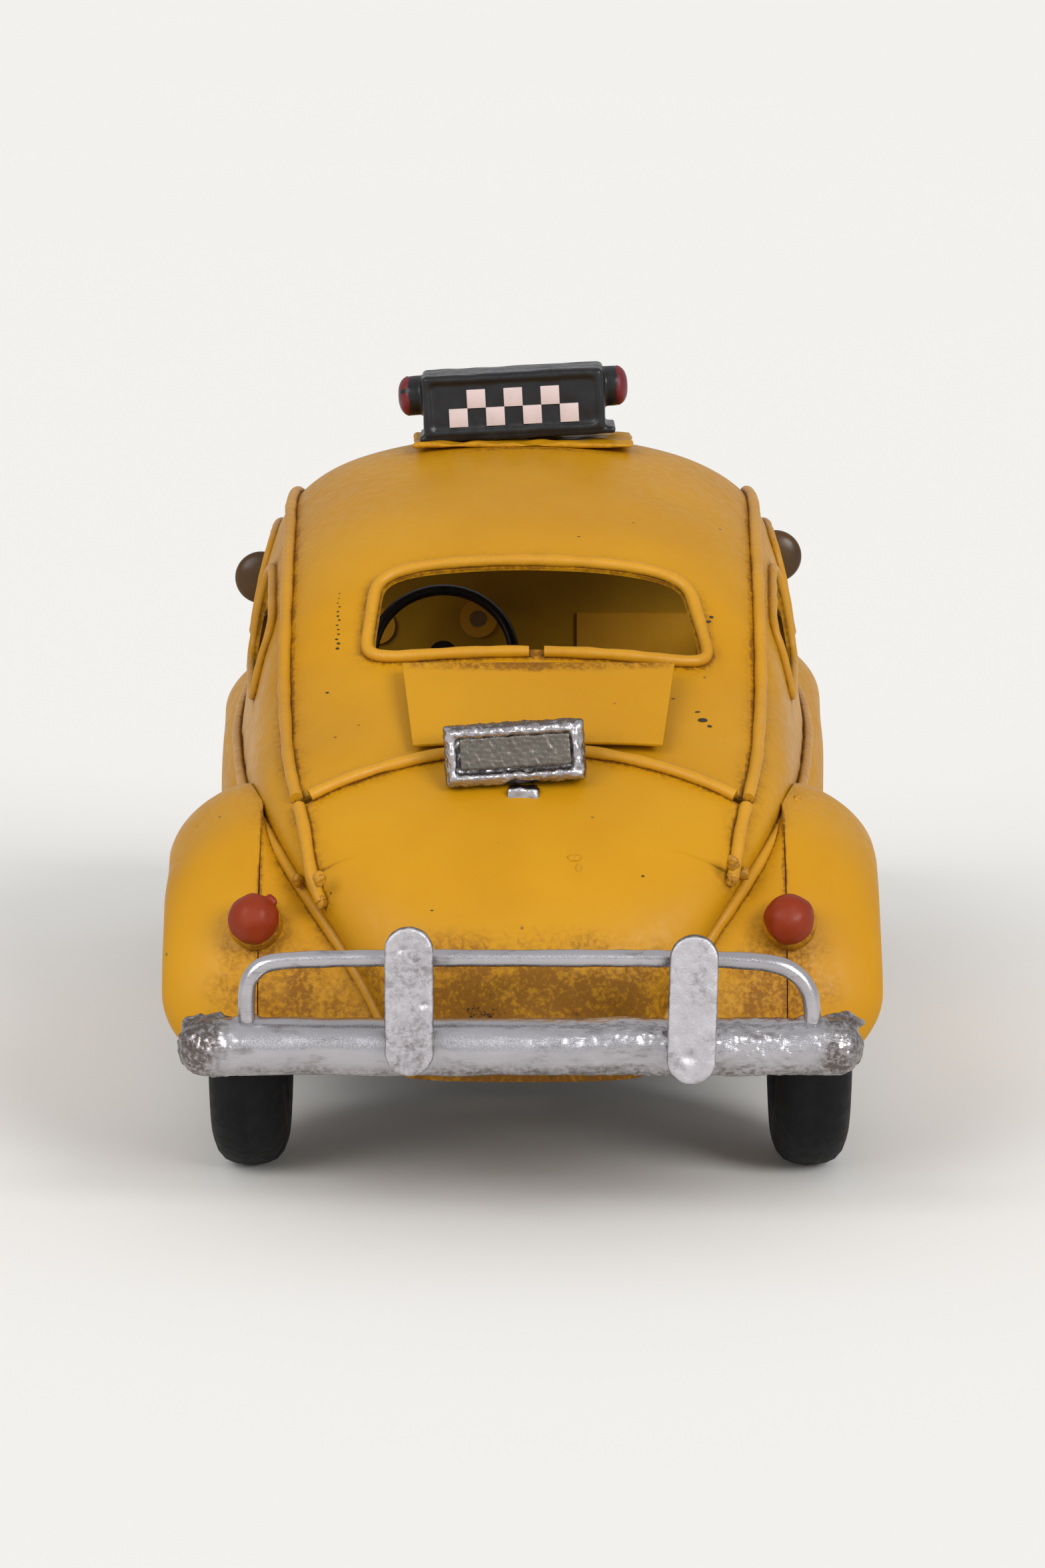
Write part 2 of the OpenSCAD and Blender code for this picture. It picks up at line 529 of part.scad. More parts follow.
dash_y = 37;
column_foot = [-9.2, 35.6, 36.0];
column_head = [-9.2, 25.6, 41.4];
column_pitch = atan2(column_foot[1] - column_head[1], column_head[2] - column_foot[2]);
column_len = norm(column_head - column_foot);
module dash_panel() {
    color(paint) translate([0, dash_y, 0]) rotate([90, 0, 0]) linear_extrude(sheet) difference() {
        polygon([[-27.6, sill_z + 1], [27.6, sill_z + 1], [28, 36], [25.8, 48], [22, 53],
            [-22, 53], [-25.8, 48], [-28, 36]]);
        translate([-5.2, 44.2]) circle(r = 1.05, $fn = 32);
        translate([-17.2, 43.4]) circle(r = 1.05, $fn = 32);
    }
}
module dash_gauges() {
    color(paint) for (p = [[-5.2, 44.2], [-17.2, 43.4]]) translate([p[0], dash_y - sheet, p[1]])
        rotate([90, 0, 0]) difference() {
            cylinder(h = 0.5, r = 2.2, $fn = 40);
            translate([0, 0, -1]) cylinder(h = 3, r = 1.05, $fn = 40);
        }
    color(paint) translate([13.4, dash_y - sheet - 0.25, 42.4]) cube([14, 0.5, 5], center = true);
}
// Places its children on the steering column's axis, standing up from its foot.
module on_column() {
    translate(column_foot) rotate([column_pitch, 0, 0]) children();
}
module steering_column() {
    color(silver) on_column() {
        translate([0, 0, -0.6]) cylinder(h = column_len - 1.4, r = 1.1, $fn = 32);
        cylinder(h = column_len + 1.2, r = 0.6, $fn = 32);
    }
}
module steering_wheel() {
    color("black") on_column() translate([0, 0, column_len]) {
        rotate_extrude($fn = 64) translate([steering_r, 0]) circle(d = 1.3, $fn = 20);
        difference() {
            union() {
                cylinder(h = 1.8, r = 1.6, center = true, $fn = 32);
                for (a = [0, 180, 270]) rotate([0, 0, a]) translate([steering_r / 2, 0, 0])
                    cube([steering_r, 0.8, 0.6], center = true);
            }
            cylinder(h = 4, r = 0.6 + run_gap, center = true, $fn = 32);
        }
    }
}

// ---------- chassis ----------

floor_z = 10.2;
floor_gauge = 0.6;
drive_slot = [[-8.0, -59], [8.0, -24]];
module floor_pan() {
    color(silver) translate([0, 0, floor_z]) linear_extrude(floor_gauge) difference() {
        polygon([[-20, -55], [-22.8, -44], [-22.8, -34], [-27.4, -31], [-27.4, 34], [-22, 40], [-17, 58], [-12, 79],
            [12, 79], [17, 58], [22, 40], [27.4, 34], [27.4, -31], [22.8, -34], [22.8, -44], [20, -55]]);
        translate(drive_slot[0]) square(drive_slot[1] - drive_slot[0]);
    }
}
frame_plate_x = 8.4;
plate_gauge = 0.8;
shaft_d = 1.6;
gear_gap = gear_m * (gear_teeth + pinion_teeth) / 2;
layshaft_y = rear_axle_y + gear_gap;
flywheel_y = layshaft_y + gear_gap;
module drive_frame() {
    color("lightsteelblue") both_sides() difference() {
        union() {
            translate([frame_plate_x, drive_slot[0][1] + 2, floor_z + floor_gauge])
                cube([plate_gauge, drive_slot[1][1] - drive_slot[0][1] - 4, 13]);
            translate([frame_plate_x, drive_slot[0][1] + 2, floor_z + floor_gauge])
                cube([6, drive_slot[1][1] - drive_slot[0][1] - 4, 0.6]);
        }
        translate([0, rear_axle_y, axle_z]) rotate([0, 90, 0])
            cylinder(h = 40, r = axle_d / 2 + run_gap, $fn = 48);
        for (y = [layshaft_y, flywheel_y]) translate([0, y, axle_z]) rotate([0, 90, 0])
            cylinder(h = 40, r = shaft_d / 2 + run_gap, $fn = 48);
    }
    color("lightsteelblue") translate([-frame_plate_x - plate_gauge, drive_slot[0][1] + 14, floor_z + floor_gauge + 12.4])
        cube([2 * (frame_plate_x + plate_gauge), 9, 0.6]);
}
module axle_brackets(y, x) {
    both_sides() color("lightsteelblue") difference() {
        translate([x, y - 4, floor_z + floor_gauge]) cube([1.6, 8, axle_z + 3 - floor_z - floor_gauge]);
        translate([0, y, axle_z]) rotate([0, 90, 0]) cylinder(h = 60, r = axle_d / 2 + run_gap, $fn = 48);
    }
}
module rear_axle_brackets() { axle_brackets(rear_axle_y, 19.2); }
module front_axle_brackets() { axle_brackets(front_axle_y, 14.0); }

// ---------- wheels and drive ----------

module cross_shaft(y, length, d, x = 0) {
    translate([x, y, axle_z]) rotate([0, 90, 0]) cylinder(h = length, d = d, center = true, $fn = 48);
}
axle_len = 2 * half_track + 3.6;
module rear_axle() { color("gainsboro") cross_shaft(rear_axle_y, axle_len, axle_d, rear_axle_slip); }
module front_axle() { color("gainsboro") cross_shaft(front_axle_y, axle_len, axle_d); }

// Involute gear outline with a working gap between the teeth.
pressure = 25;
tooth_gap = 0.07;
function inv(a) = tan(a) * 180 / PI - a;
function gear_flank(n, side) =
    let (rp = gear_m * n / 2, rb = rp * cos(pressure))
    let (half = 90 / n - (tooth_gap / 2) / rp * 180 / PI + inv(pressure))
    let (r0 = max(rb, rp - 1.15 * gear_m), r1 = rp + 0.9 * gear_m)
    [for (k = [0:5]) let (r = mix(r0, r1, k / 5)) [r, side * (half - inv(acos(min(1, rb / r))))]];
function polar(r, a) = [r * cos(a), r * sin(a)];
module gear_disc(n, width) {
    root = gear_m * n / 2 - 1.25 * gear_m;
    right = gear_flank(n, -1);
    left = gear_flank(n, 1);
    linear_extrude(width, center = true) polygon([for (t = [0:n - 1]) let (c = 360 * t / n)
        each concat([polar(root, c + right[0][1])], [for (p = right) polar(p[0], c + p[1])],
            [for (k = [5:-1:0]) polar(left[k][0], c + left[k][1])], [polar(root, c + left[0][1])])]);
}
// A gear on a cross shaft at x, turned so that a tooth (phase 0) or a gap (phase 0.5) faces +Y.
module cross_gear(x, y, n, width, phase, bore) {
    translate([x, y, axle_z]) rotate([0, 90, 0]) rotate([0, 0, 90 + phase * 360 / n]) difference() {
        gear_disc(n, width);
        cylinder(h = width + 2, d = bore, center = true, $fn = 48);
    }
}
module drive_gear() { color("gold") cross_gear(-5, rear_axle_y, gear_teeth, 2, 0, axle_d); }
module layshaft() {
    color("gold") {
        cross_shaft(layshaft_y, 2 * frame_plate_x + 3.4, shaft_d);
        cross_gear(-5, layshaft_y, pinion_teeth, 2.6, 0.5, shaft_d - 0.4);
        cross_gear(-1.6, layshaft_y, gear_teeth, 2, 0, shaft_d - 0.4);
    }
}
module flywheel() {
    color("slategray") {
        cross_shaft(flywheel_y, 2 * frame_plate_x + 3.4, shaft_d);
        cross_gear(-1.6, flywheel_y, pinion_teeth, 2.6, 0.5, shaft_d - 0.4);
        translate([4.2, flywheel_y, axle_z]) rotate([0, 90, 0])
            cylinder(h = 6, r = flywheel_r, center = true, $fn = 64);
    }
}

rim_r = 9.6;
module tyre(s, y, slip = 0) {
    color("dimgray") translate([s * half_track + slip, y, axle_z]) rotate([0, 90, 0]) rotate_extrude($fn = 72)
        difference() {
            translate([tyre_r - 3.9, 0]) union() {
                circle(r = 3.9, $fn = 48);
                translate([rim_r - tyre_r + 3.9, -tyre_w / 2 + 1.1])
                    square([tyre_r - 3.9 - rim_r, tyre_w - 2.2]);
            }
            translate([0, -tyre_w]) square([rim_r, 2 * tyre_w]);
        }
}
module left_rear_tyre() { tyre(-1, rear_axle_y, rear_axle_slip); }
module right_rear_tyre() { tyre(1, rear_axle_y, rear_axle_slip); }
module left_front_tyre() { tyre(-1, front_axle_y); }
module right_front_tyre() { tyre(1, front_axle_y); }
// Pressed wheel disc with a domed cap, a bore for the axle and a rim for the tyre.
module wheel(s, y, slip = 0) {
    w = tyre_w / 2 - 1.1;
    color("khaki") translate([s * half_track + slip, y, axle_z]) rotate([0, s * 90, 0]) rotate_extrude($fn = 72)
        polygon([[axle_d / 2, -w], [3, -w], [3, -0.6], [rim_r - 0.8, -0.6], [rim_r - 0.8, -w], [rim_r, -w],
            [rim_r, w], [rim_r - 0.8, w], [rim_r - 0.8, 0.4], [5.4, 0.4], [5, 1.4], [3.4, 2.2],
            [axle_d / 2, 2.4]]);
}
module left_rear_wheel() { wheel(-1, rear_axle_y, rear_axle_slip); }
module right_rear_wheel() { wheel(1, rear_axle_y, rear_axle_slip); }
module left_front_wheel() { wheel(-1, front_axle_y); }
module right_front_wheel() { wheel(1, front_axle_y); }

floor_pan();
roof_and_rear_panel();
left_side_panel();
right_side_panel();
engine_lid();
bonnet();
left_rear_fender();
right_rear_fender();
left_front_fender();
right_front_fender();
left_rear_gusset();
right_rear_gusset();
left_running_board();
right_running_board();
louvre_plate();
rear_window_bead();
windscreen_bead();
side_seam_beads();
lid_arc_bead();
fender_beads();
side_window_beads();
belt_beads();
rear_bumper_tube();
rear_bumper_brackets();
rear_bumper_rail();
rear_overriders();
front_bumper_tube();
front_bumper_brackets();
tail_lamp_bases();
tail_lamp_domes();
licence_lamp_housing();
licence_lamp_tab();
headlamp_rims();
headlamp_lenses();
sign_base();
sign_box();
sign_end_lamps();
sign_lamp_caps();
left_mirror();
right_mirror();
dash_panel();
dash_gauges();
steering_column();
steering_wheel();
drive_frame();
rear_axle_brackets();
front_axle_brackets();
rear_axle();
drive_gear();
layshaft();
flywheel();
front_axle();
left_rear_tyre();
right_rear_tyre();
left_front_tyre();
right_front_tyre();
left_rear_wheel();
right_rear_wheel();
left_front_wheel();
right_front_wheel();
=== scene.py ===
"""Looks of the friction-drive tin taxi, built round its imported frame.

Sizes are in millimetres until a mesh is written, and in metres from then on. The rear faces -Y.
"""

import logging
import math
from contextlib import contextmanager
from dataclasses import dataclass, field
from enum import Enum
from typing import Callable, Iterator, Sequence

import bpy
import numpy as np
from mathutils import Matrix, Vector
from mathutils.kdtree import KDTree

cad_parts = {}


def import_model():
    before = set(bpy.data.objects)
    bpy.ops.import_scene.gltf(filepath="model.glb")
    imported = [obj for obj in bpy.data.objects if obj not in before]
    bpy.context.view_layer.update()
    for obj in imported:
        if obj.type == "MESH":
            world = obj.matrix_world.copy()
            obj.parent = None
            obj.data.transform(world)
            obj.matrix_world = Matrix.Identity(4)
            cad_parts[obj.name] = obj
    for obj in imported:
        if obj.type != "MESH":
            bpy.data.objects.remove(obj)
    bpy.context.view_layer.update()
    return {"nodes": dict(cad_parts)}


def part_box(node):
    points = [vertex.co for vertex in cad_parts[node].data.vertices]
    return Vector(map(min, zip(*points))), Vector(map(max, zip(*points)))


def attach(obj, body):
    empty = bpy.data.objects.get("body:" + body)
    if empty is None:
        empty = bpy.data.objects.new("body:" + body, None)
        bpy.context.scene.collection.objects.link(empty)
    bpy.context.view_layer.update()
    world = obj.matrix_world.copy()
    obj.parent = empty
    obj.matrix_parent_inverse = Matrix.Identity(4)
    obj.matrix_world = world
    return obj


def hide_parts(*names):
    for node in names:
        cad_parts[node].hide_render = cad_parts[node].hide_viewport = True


log = logging.getLogger("tin_taxi")
MM = 0.001
CAR = "car_body"
SIDES = ((1, "right"), (-1, "left"))
DOUBLED = 1e-6
Array = np.ndarray
Field = Callable[[Array], Array]


class Slot(str, Enum):
    """The record's material slots."""

    YELLOW = "yellow_paint"
    SILVER = "silver_paint"
    BLACK = "black_paint"
    CRIMSON = "crimson_paint"
    LAMP_RED = "red_lamp_paint"
    STEEL = "steel"
    BRASS = "brass"
    TYRE = "tyre"
    MIRROR = "mirror_grey"
    IRON = "cast_iron"
    CREAM = "cream_paint"
    TIN = "tinplate"


# ---------- curves and the body's form ----------


class Curve:
    """A smooth curve through rising places and their values."""

    def __init__(self, points: Sequence[Sequence[float]]) -> None:
        """Keeps the points and the slope at each.

        Args:
            points: Pairs of place and value, with the places rising.
        """
        self.x, self.y = np.array(points, float).T
        run, rise = self.x[2:] - self.x[:-2], self.y[2:] - self.y[:-2]
        first = (self.y[1] - self.y[0]) / (self.x[1] - self.x[0])
        last = (self.y[-1] - self.y[-2]) / (self.x[-1] - self.x[-2])
        self.slope = np.concatenate([[first], rise / run, [last]])

    def __call__(self, at: Array | float) -> Array:
        """Smooth values of the curve.

        Args:
            at: Places along the curve.

        Returns:
            One value for each place.
        """
        at = np.asarray(at, float)
        i = np.clip(np.searchsorted(self.x, at, side="right") - 1, 0, len(self.x) - 2)
        h = self.x[i + 1] - self.x[i]
        t = (at - self.x[i]) / h
        ends = (2 * t**3 - 3 * t**2 + 1) * self.y[i] + (3 * t**2 - 2 * t**3) * self.y[i + 1]
        leans = (t**3 - 2 * t**2 + t) * self.slope[i] + (t**3 - t**2) * self.slope[i + 1]
        return ends + h * leans


class Ripple:
    """Seeded smooth unevenness from about -1 to 1: a sum of waves of one length."""

    def __init__(self, wavelength: float, seed: int, waves: int = 14) -> None:
        """Draws the directions and phases of the waves.

        Args:
            wavelength: Length of each wave in millimetres.
            seed: Seed of the draw.
            waves: How many waves are added up.
        """
        draw = np.random.RandomState(seed)
        turn = draw.normal(size=(waves, 3))
        turn /= np.linalg.norm(turn, axis=1, keepdims=True)
        stretch = draw.uniform(0.6, 1.7, (waves, 1))
        self.pull = turn * 2 * math.pi / wavelength * stretch
        self.phase = draw.uniform(0, 2 * math.pi, waves)
        self.gain = 1.3 / math.sqrt(waves)

    def __call__(self, points: Array) -> Array:
        """Unevenness at points in millimetres."""
        return np.sin(points @ self.pull.T + self.phase).sum(-1) * self.gain


# Each rib of the body is an arch: crown y and z, foot y and z, half width, squareness.
RIBS = np.array([
    (-79.6, 14.9, -75.9, 14.9, 12.0, 3.0), (-80.0, 20.0, -74.0, 20.0, 13.8, 3.0),
    (-78.0, 27.5, -70.5, 26.0, 17.5, 3.2), (-73.5, 34.0, -66.0, 31.0, 21.5, 3.4),
    (-66.5, 39.4, -60.0, 35.2, 25.0, 3.6), (-57.0, 44.3, -51.0, 37.6, 27.6, 4.0),
    (-48.0, 48.6, -43.0, 38.0, 28.7, 4.6), (-41.2, 52.6, -36.0, 38.0, 29.3, 5.2),
    (-37.0, 56.6, -32.0, 38.0, 29.6, 5.8), (-32.5, 60.3, -28.0, 38.0, 29.9, 6.4),
    (-24.0, 64.2, -20.0, 38.0, 30.4, 7.0), (-12.0, 67.3, -10.0, 38.0, 31.0, 7.0),
    (2.0, 69.2, 2.0, 38.0, 31.4, 7.0), (14.0, 68.5, 14.0, 38.0, 31.5, 7.0),
    (23.0, 66.5, 23.0, 38.0, 31.3, 6.6), (29.5, 63.3, 30.0, 38.0, 30.9, 6.0),
    (34.5, 58.5, 35.0, 38.0, 30.5, 5.4), (39.5, 52.5, 40.0, 38.0, 29.9, 4.8),
    (44.0, 47.6, 45.0, 37.6, 28.9, 4.0), (52.0, 45.4, 53.0, 36.5, 26.0, 3.6),
    (62.0, 41.8, 62.0, 34.0, 22.5, 3.2), (71.0, 36.8, 70.0, 30.0, 19.0, 3.0),
    (78.5, 30.5, 76.0, 25.0, 16.0, 3.0), (83.5, 23.0, 80.0, 19.0, 13.5, 3.0),
    (85.0, 14.0, 81.5, 13.5, 11.5, 3.0)])
SEAMS = [(0, 11.3), (1, 13.2), (2, 16.8), (3, 20.4), (4, 22.0), (5, 23.7), (6, 24.4), (7, 24.75),
         (8, 24.8), (9, 24.8), (10, 24.9), (11, 25.1), (12, 25.4), (14, 25.0), (15, 24.3),
         (16, 24.0), (17, 23.9), (18, 23.8)]
LID_RIB, COWL_RIB, NOSE_RIB = 5.0, 18.0, 24.0
REAR_AXLE_Y, FRONT_AXLE_Y, AXLE_Z = -51.0, 56.0, 15.5


def unit(v: Array) -> Array:
    """The same vectors with length one."""
    return v / np.maximum(np.linalg.norm(v, axis=-1, keepdims=True), 1e-9)


def mix(a: Array | float, b: Array | float, t: Array | float) -> Array:
    """Value a share t of the way from a to b."""
    return a + (b - a) * t


class BodyForm:
    """The body's outer surface: rib number from tail to nose, and angle from right foot to left."""

    tumblehome = 0.15

    def __init__(self) -> None:
        """Makes the curves through the ribs and the soldered seams."""
        place = np.arange(len(RIBS))
        columns = [Curve(np.column_stack([place, column])) for column in RIBS.T]
        self.crown_y, self.crown_z, self.foot_y, self.foot_z, self.half, self.square = columns
        self.seam_x = Curve(SEAMS)

    def skin(self, u: Array | float, a: Array | float) -> Array:
        """Points on the surface.

        Args:
            u: Rib numbers.
            a: Angles in degrees, 0 at the right foot and 180 at the left.

        Returns:
            Points in millimetres, in the last axis.
        """
        u, a = np.broadcast_arrays(np.asarray(u, float), np.radians(a))
        rise = np.clip(np.sin(a), 0, 1) ** (2 / self.square(u))
        foot, crown = self.foot_z(u), self.crown_z(u)
        lean = 1 - self.tumblehome * rise * np.clip((crown - foot) / 22, 0, 1)
        x = self.half(u) * lean * np.cos(a)
        return np.stack([x, mix(self.foot_y(u), self.crown_y(u), rise), mix(foot, crown, rise)], -1)

    def angle(self, u: Array | float, x: Array | float) -> Array:
        """Angle at which a rib stands some way from the middle plane.

        Args:
            u: Rib numbers.
            x: Distances from the middle plane, negative on the left.

        Returns:
            Angles in degrees.
        """
        u, x = np.broadcast_arrays(np.asarray(u, float), np.asarray(x, float))
        a = np.full(u.shape, 60.0)
        for _ in range(18):
            share = np.abs(x) / np.maximum(0.1, self.skin(u, a)[..., 0]) * np.cos(np.radians(a))
            a = np.degrees(np.arccos(np.clip(share, -0.999, 0.999)))
        return np.where(x < 0, 180 - a, a)

    def seam(self, u: Array | float) -> Array:
        """Angle of the right-hand soldered seam on a rib."""
        return self.angle(u, self.seam_x(u))

    def wall_angle(self, u: Array, share: Array) -> Array:
        """Angle of a place on the side wall, from share 0 at the belt to 1 at the seam."""
        power = self.square(u) / 2
        top = np.sin(np.radians(self.seam(u) - 0.1)) ** (1 / power)
        return np.degrees(np.arcsin(np.clip(share * top, 0, 1) ** power))

    def normal(self, u: Array | float, a: Array | float) -> Array:
        """Outward directions of the surface."""
        along = self.skin(np.minimum(np.add(u, 0.05), NOSE_RIB), a)
        along = along - self.skin(np.maximum(np.subtract(u, 0.05), 0), a)
        over = self.skin(u, np.minimum(np.add(a, 1), 179.9))
        over = over - self.skin(u, np.maximum(np.subtract(a, 1), 0.1))
        return unit(np.cross(along, over))

    def lid_edge(self, a: Array) -> Array:
        """Rib number of the engine lid's upper edge at an angle."""
        end = math.cos(math.radians(float(self.seam(LID_RIB))))
        return LID_RIB - 0.65 * (np.cos(np.radians(a)) / end) ** 2

    def side_x(self, y: Array | float) -> Array:
        """Half width of the body's side at places along the car, at the ribs' feet."""
        u = np.linspace(0, NOSE_RIB, 2000)
        return np.interp(np.clip(y, -76, 82), self.foot_y(u), self.half(u))

    def even(self, start: float, end: float, step: float) -> Array:
        """Rib numbers between two, evenly spaced along the crown."""
        u = np.linspace(start, end, 600)
        crown = np.stack([self.crown_y(u), self.crown_z(u)], -1)
        run = np.concatenate([[0], np.cumsum(np.linalg.norm(np.diff(crown, axis=0), axis=1))])
        return np.interp(np.linspace(0, run[-1], max(3, round(run[-1] / step)) + 1), run, u)

    def sill(self, y: Array) -> Array:
        """Height of the body's lower edge along the car."""
        arches = [AXLE_Z + np.sqrt(np.maximum(0, 18.0**2 - (y - at) ** 2)) * (abs(y - at) < 18)
                  - AXLE_Z * (abs(y - at) >= 18) for at in (REAR_AXLE_Y, FRONT_AXLE_Y)]
        return np.maximum.reduce([11 + 0.3 * np.maximum(0, REAR_AXLE_Y - y), *arches])


@dataclass(frozen=True)
class Pane:
    """A window opening on the body: rib numbers, and places across the lower and upper edge."""

    ribs: tuple[float, float]
    low: tuple[float, float]
    high: tuple[float, float]
    corner: float = 7.0

    def local(self, u: Array, x: Array) -> tuple[Array, Array]:
        """Places on the pane, from -1 to 1 both ways."""
        t = (u - self.ribs[0]) / (self.ribs[1] - self.ribs[0])
        left, right = mix(self.low[0], self.high[0], t), mix(self.low[1], self.high[1], t)
        return 2 * t - 1, 2 * (x - left) / (right - left) - 1

    def level(self, u: Array, x: Array) -> Array:
        """Under 1 inside the opening, 1 on its edge."""
        p, q = self.local(u, x)
        return (np.abs(p) ** self.corner + np.abs(q) ** self.corner) ** (1 / self.corner)

    def place(self, p: Array, q: Array) -> tuple[Array, Array]:
        """Rib number and place across for a place on the pane."""
        t = (p + 1) / 2
        left, right = mix(self.low[0], self.high[0], t), mix(self.low[1], self.high[1], t)
        return mix(self.ribs[0], self.ribs[1], t), mix(left, right, (q + 1) / 2)

    def snap(self, u: Array, x: Array) -> tuple[Array, Array]:
        """The nearest place on the edge, straight out from the pane's middle."""
        p, q = self.local(u, x)
        size = self.level(u, x)
        return self.place(p / size, q / size)

    def edge(self, count: int, start: float = -90.0, grow: float = 0.0) -> tuple[Array, Array]:
        """Places round the edge, from a compass angle on, grown outwards by a share of its size."""
        t = np.radians(start + np.linspace(0, 360, count, endpoint=False))
        p, q = np.sin(t), np.cos(t)
        size = (np.abs(p) ** self.corner + np.abs(q) ** self.corner) ** (1 / self.corner) / (1 + grow)
        return self.place(p / size, q / size)


def even_path(path: Array, step: float, closed: bool = False) -> Array:
    """The same path with evenly spaced points.

    Args:
        path: Points in millimetres.
        step: Spacing in millimetres.
        closed: Whether the last point joins the first.

    Returns:
        The new points.
    """
    if closed:
        path = np.vstack([path, path[:1]])
    run = np.concatenate([[0], np.cumsum(np.linalg.norm(np.diff(path, axis=0), axis=1))])
    at = np.linspace(0, run[-1], max(2, round(run[-1] / step)) + 1)
    return np.column_stack([np.interp(at, run, column) for column in path.T])


# ---------- bench work ----------


def alone(obj: bpy.types.Object) -> bpy.types.Object:
    """Selects one object and nothing else, and makes it active."""
    bpy.ops.object.select_all(action="DESELECT")
    obj.select_set(True)
    bpy.context.view_layer.objects.active = obj
    return obj


@contextmanager
def editing(obj: bpy.types.Object) -> Iterator[None]:
    """Edit mode on one object, with faces as what is picked."""
    alone(obj)
    bpy.context.tool_settings.mesh_select_mode = (False, False, True)
    bpy.ops.object.mode_set(mode="EDIT")
    yield
    bpy.ops.object.mode_set(mode="OBJECT")


def pick_faces(obj: bpy.types.Object, test: Callable[[bpy.types.MeshPolygon], bool]) -> int:
    """Selects the faces that pass a test, before edit mode.

    Args:
        obj: The mesh object.
        test: Says whether a face is wanted.

    Returns:
        How many faces were picked.
    """
    mesh = obj.data
    mesh.vertices.foreach_set("select", [False] * len(mesh.vertices))
    mesh.edges.foreach_set("select", [False] * len(mesh.edges))
    flags = [bool(test(face)) for face in mesh.polygons]
    mesh.polygons.foreach_set("select", flags)
    return sum(flags)


def use_modifier(obj: bpy.types.Object, kind: str, **settings: object) -> bpy.types.Object:
    """Adds a modifier, sets it and applies it.

    Args:
        obj: The object it works on.
        kind: Blender's name of the modifier's type.
        **settings: Its settings.

    Returns:
        The same object.
    """
    alone(obj)
    modifier = obj.modifiers.new(kind.lower(), kind)
    for name, value in settings.items():
        setattr(modifier, name, value)
    bpy.ops.object.modifier_apply(modifier=modifier.name)
    return obj


def points_of(obj: bpy.types.Object) -> Array:
    """The mesh's vertices in millimetres."""
    flat = np.empty(len(obj.data.vertices) * 3, np.float64)
    obj.data.vertices.foreach_get("co", flat)
    return flat.reshape(-1, 3) / MM


def set_points(obj: bpy.types.Object, points: Array) -> None:
    """Moves the mesh's vertices to points in millimetres."""
    obj.data.vertices.foreach_set("co", (points * MM).ravel())
    obj.data.update()


def normals_of(obj: bpy.types.Object) -> Array:
    """Outward direction of the mesh at each vertex."""
    flat = np.empty(len(obj.data.vertices) * 3)
    obj.data.vertex_normals.foreach_get("vector", flat)
    return flat.reshape(-1, 3)


def tree_of(points: Array) -> KDTree:
    """A search tree that finds the nearest of some points."""
    tree = KDTree(len(points))
    for number, point in enumerate(points):
        tree.insert(point, number)
    tree.balance()
    return tree


def ruffle(obj: bpy.types.Object, height: Field) -> bpy.types.Object:
    """Moves each vertex along its normal by a field's value in millimetres."""
    points = points_of(obj)
    set_points(obj, points + normals_of(obj) * height(points)[:, None])
    return obj


def merge(objects: Sequence[bpy.types.Object], name: str) -> bpy.types.Object:
    """Joins objects into the first and names it.

    Args:
        objects: The mesh objects, the first of which stays.
        name: Name of the whole.

    Returns:
        The whole.
    """
    alone(objects[0])
    for obj in objects:
        obj.select_set(True)
    if len(objects) > 1:
        bpy.ops.object.join()
    objects[0].name = objects[0].data.name = name
    return objects[0]


def recast(obj: bpy.types.Object, voxel: float, height: Field | None = None,
           soften: int = 0) -> bpy.types.Object:
    """Turns a shape into one even skin of small faces, softens it and ruffles it.

    Args:
        obj: The shape.
        voxel: Size of the faces in millimetres.
        height: Field of the unevenness, or None.
        soften: How often the skin is smoothed first.

    Returns:
        The same object.
    """
    use_modifier(obj, "REMESH", mode="VOXEL", voxel_size=voxel * MM, use_smooth_shade=True)
    if soften:
        use_modifier(obj, "SMOOTH", factor=0.5, iterations=soften)
    return ruffle(obj, height) if height else obj


def placed(name: str, data: bpy.types.ID) -> bpy.types.Object:
    """A new object of some data, linked into the scene."""
    obj = bpy.data.objects.new(name, data)
    bpy.context.scene.collection.objects.link(obj)
    return obj


def seal() -> None:
    """In edit mode, merges doubled points and turns every face outwards."""
    bpy.ops.mesh.select_all(action="SELECT")
    bpy.ops.mesh.remove_doubles(threshold=DOUBLED)
    bpy.ops.mesh.normals_make_consistent(inside=False)


def primitive(add: Callable[..., object], name: str, **settings: object) -> bpy.types.Object:
    """Adds a primitive alone, with its place and size in its mesh, ready to be shaped.

    Args:
        add: The operator that adds it.
        name: Name of the new object.
        **settings: The operator's settings.

    Returns:
        The new object.
    """
    bpy.ops.object.select_all(action="DESELECT")
    add(**settings)
    obj = bpy.context.active_object
    obj.name = obj.data.name = name
    bpy.ops.object.transform_apply(location=True, rotation=True, scale=True)
    return obj


def bevel(obj: bpy.types.Object, width: float, segments: int, sharp: float = math.radians(30)) -> None:
    """Rounds edges sharper than an angle in radians, over a width in millimetres."""
    use_modifier(obj, "BEVEL", width=width * MM, segments=segments, limit_method="ANGLE", angle_limit=sharp)


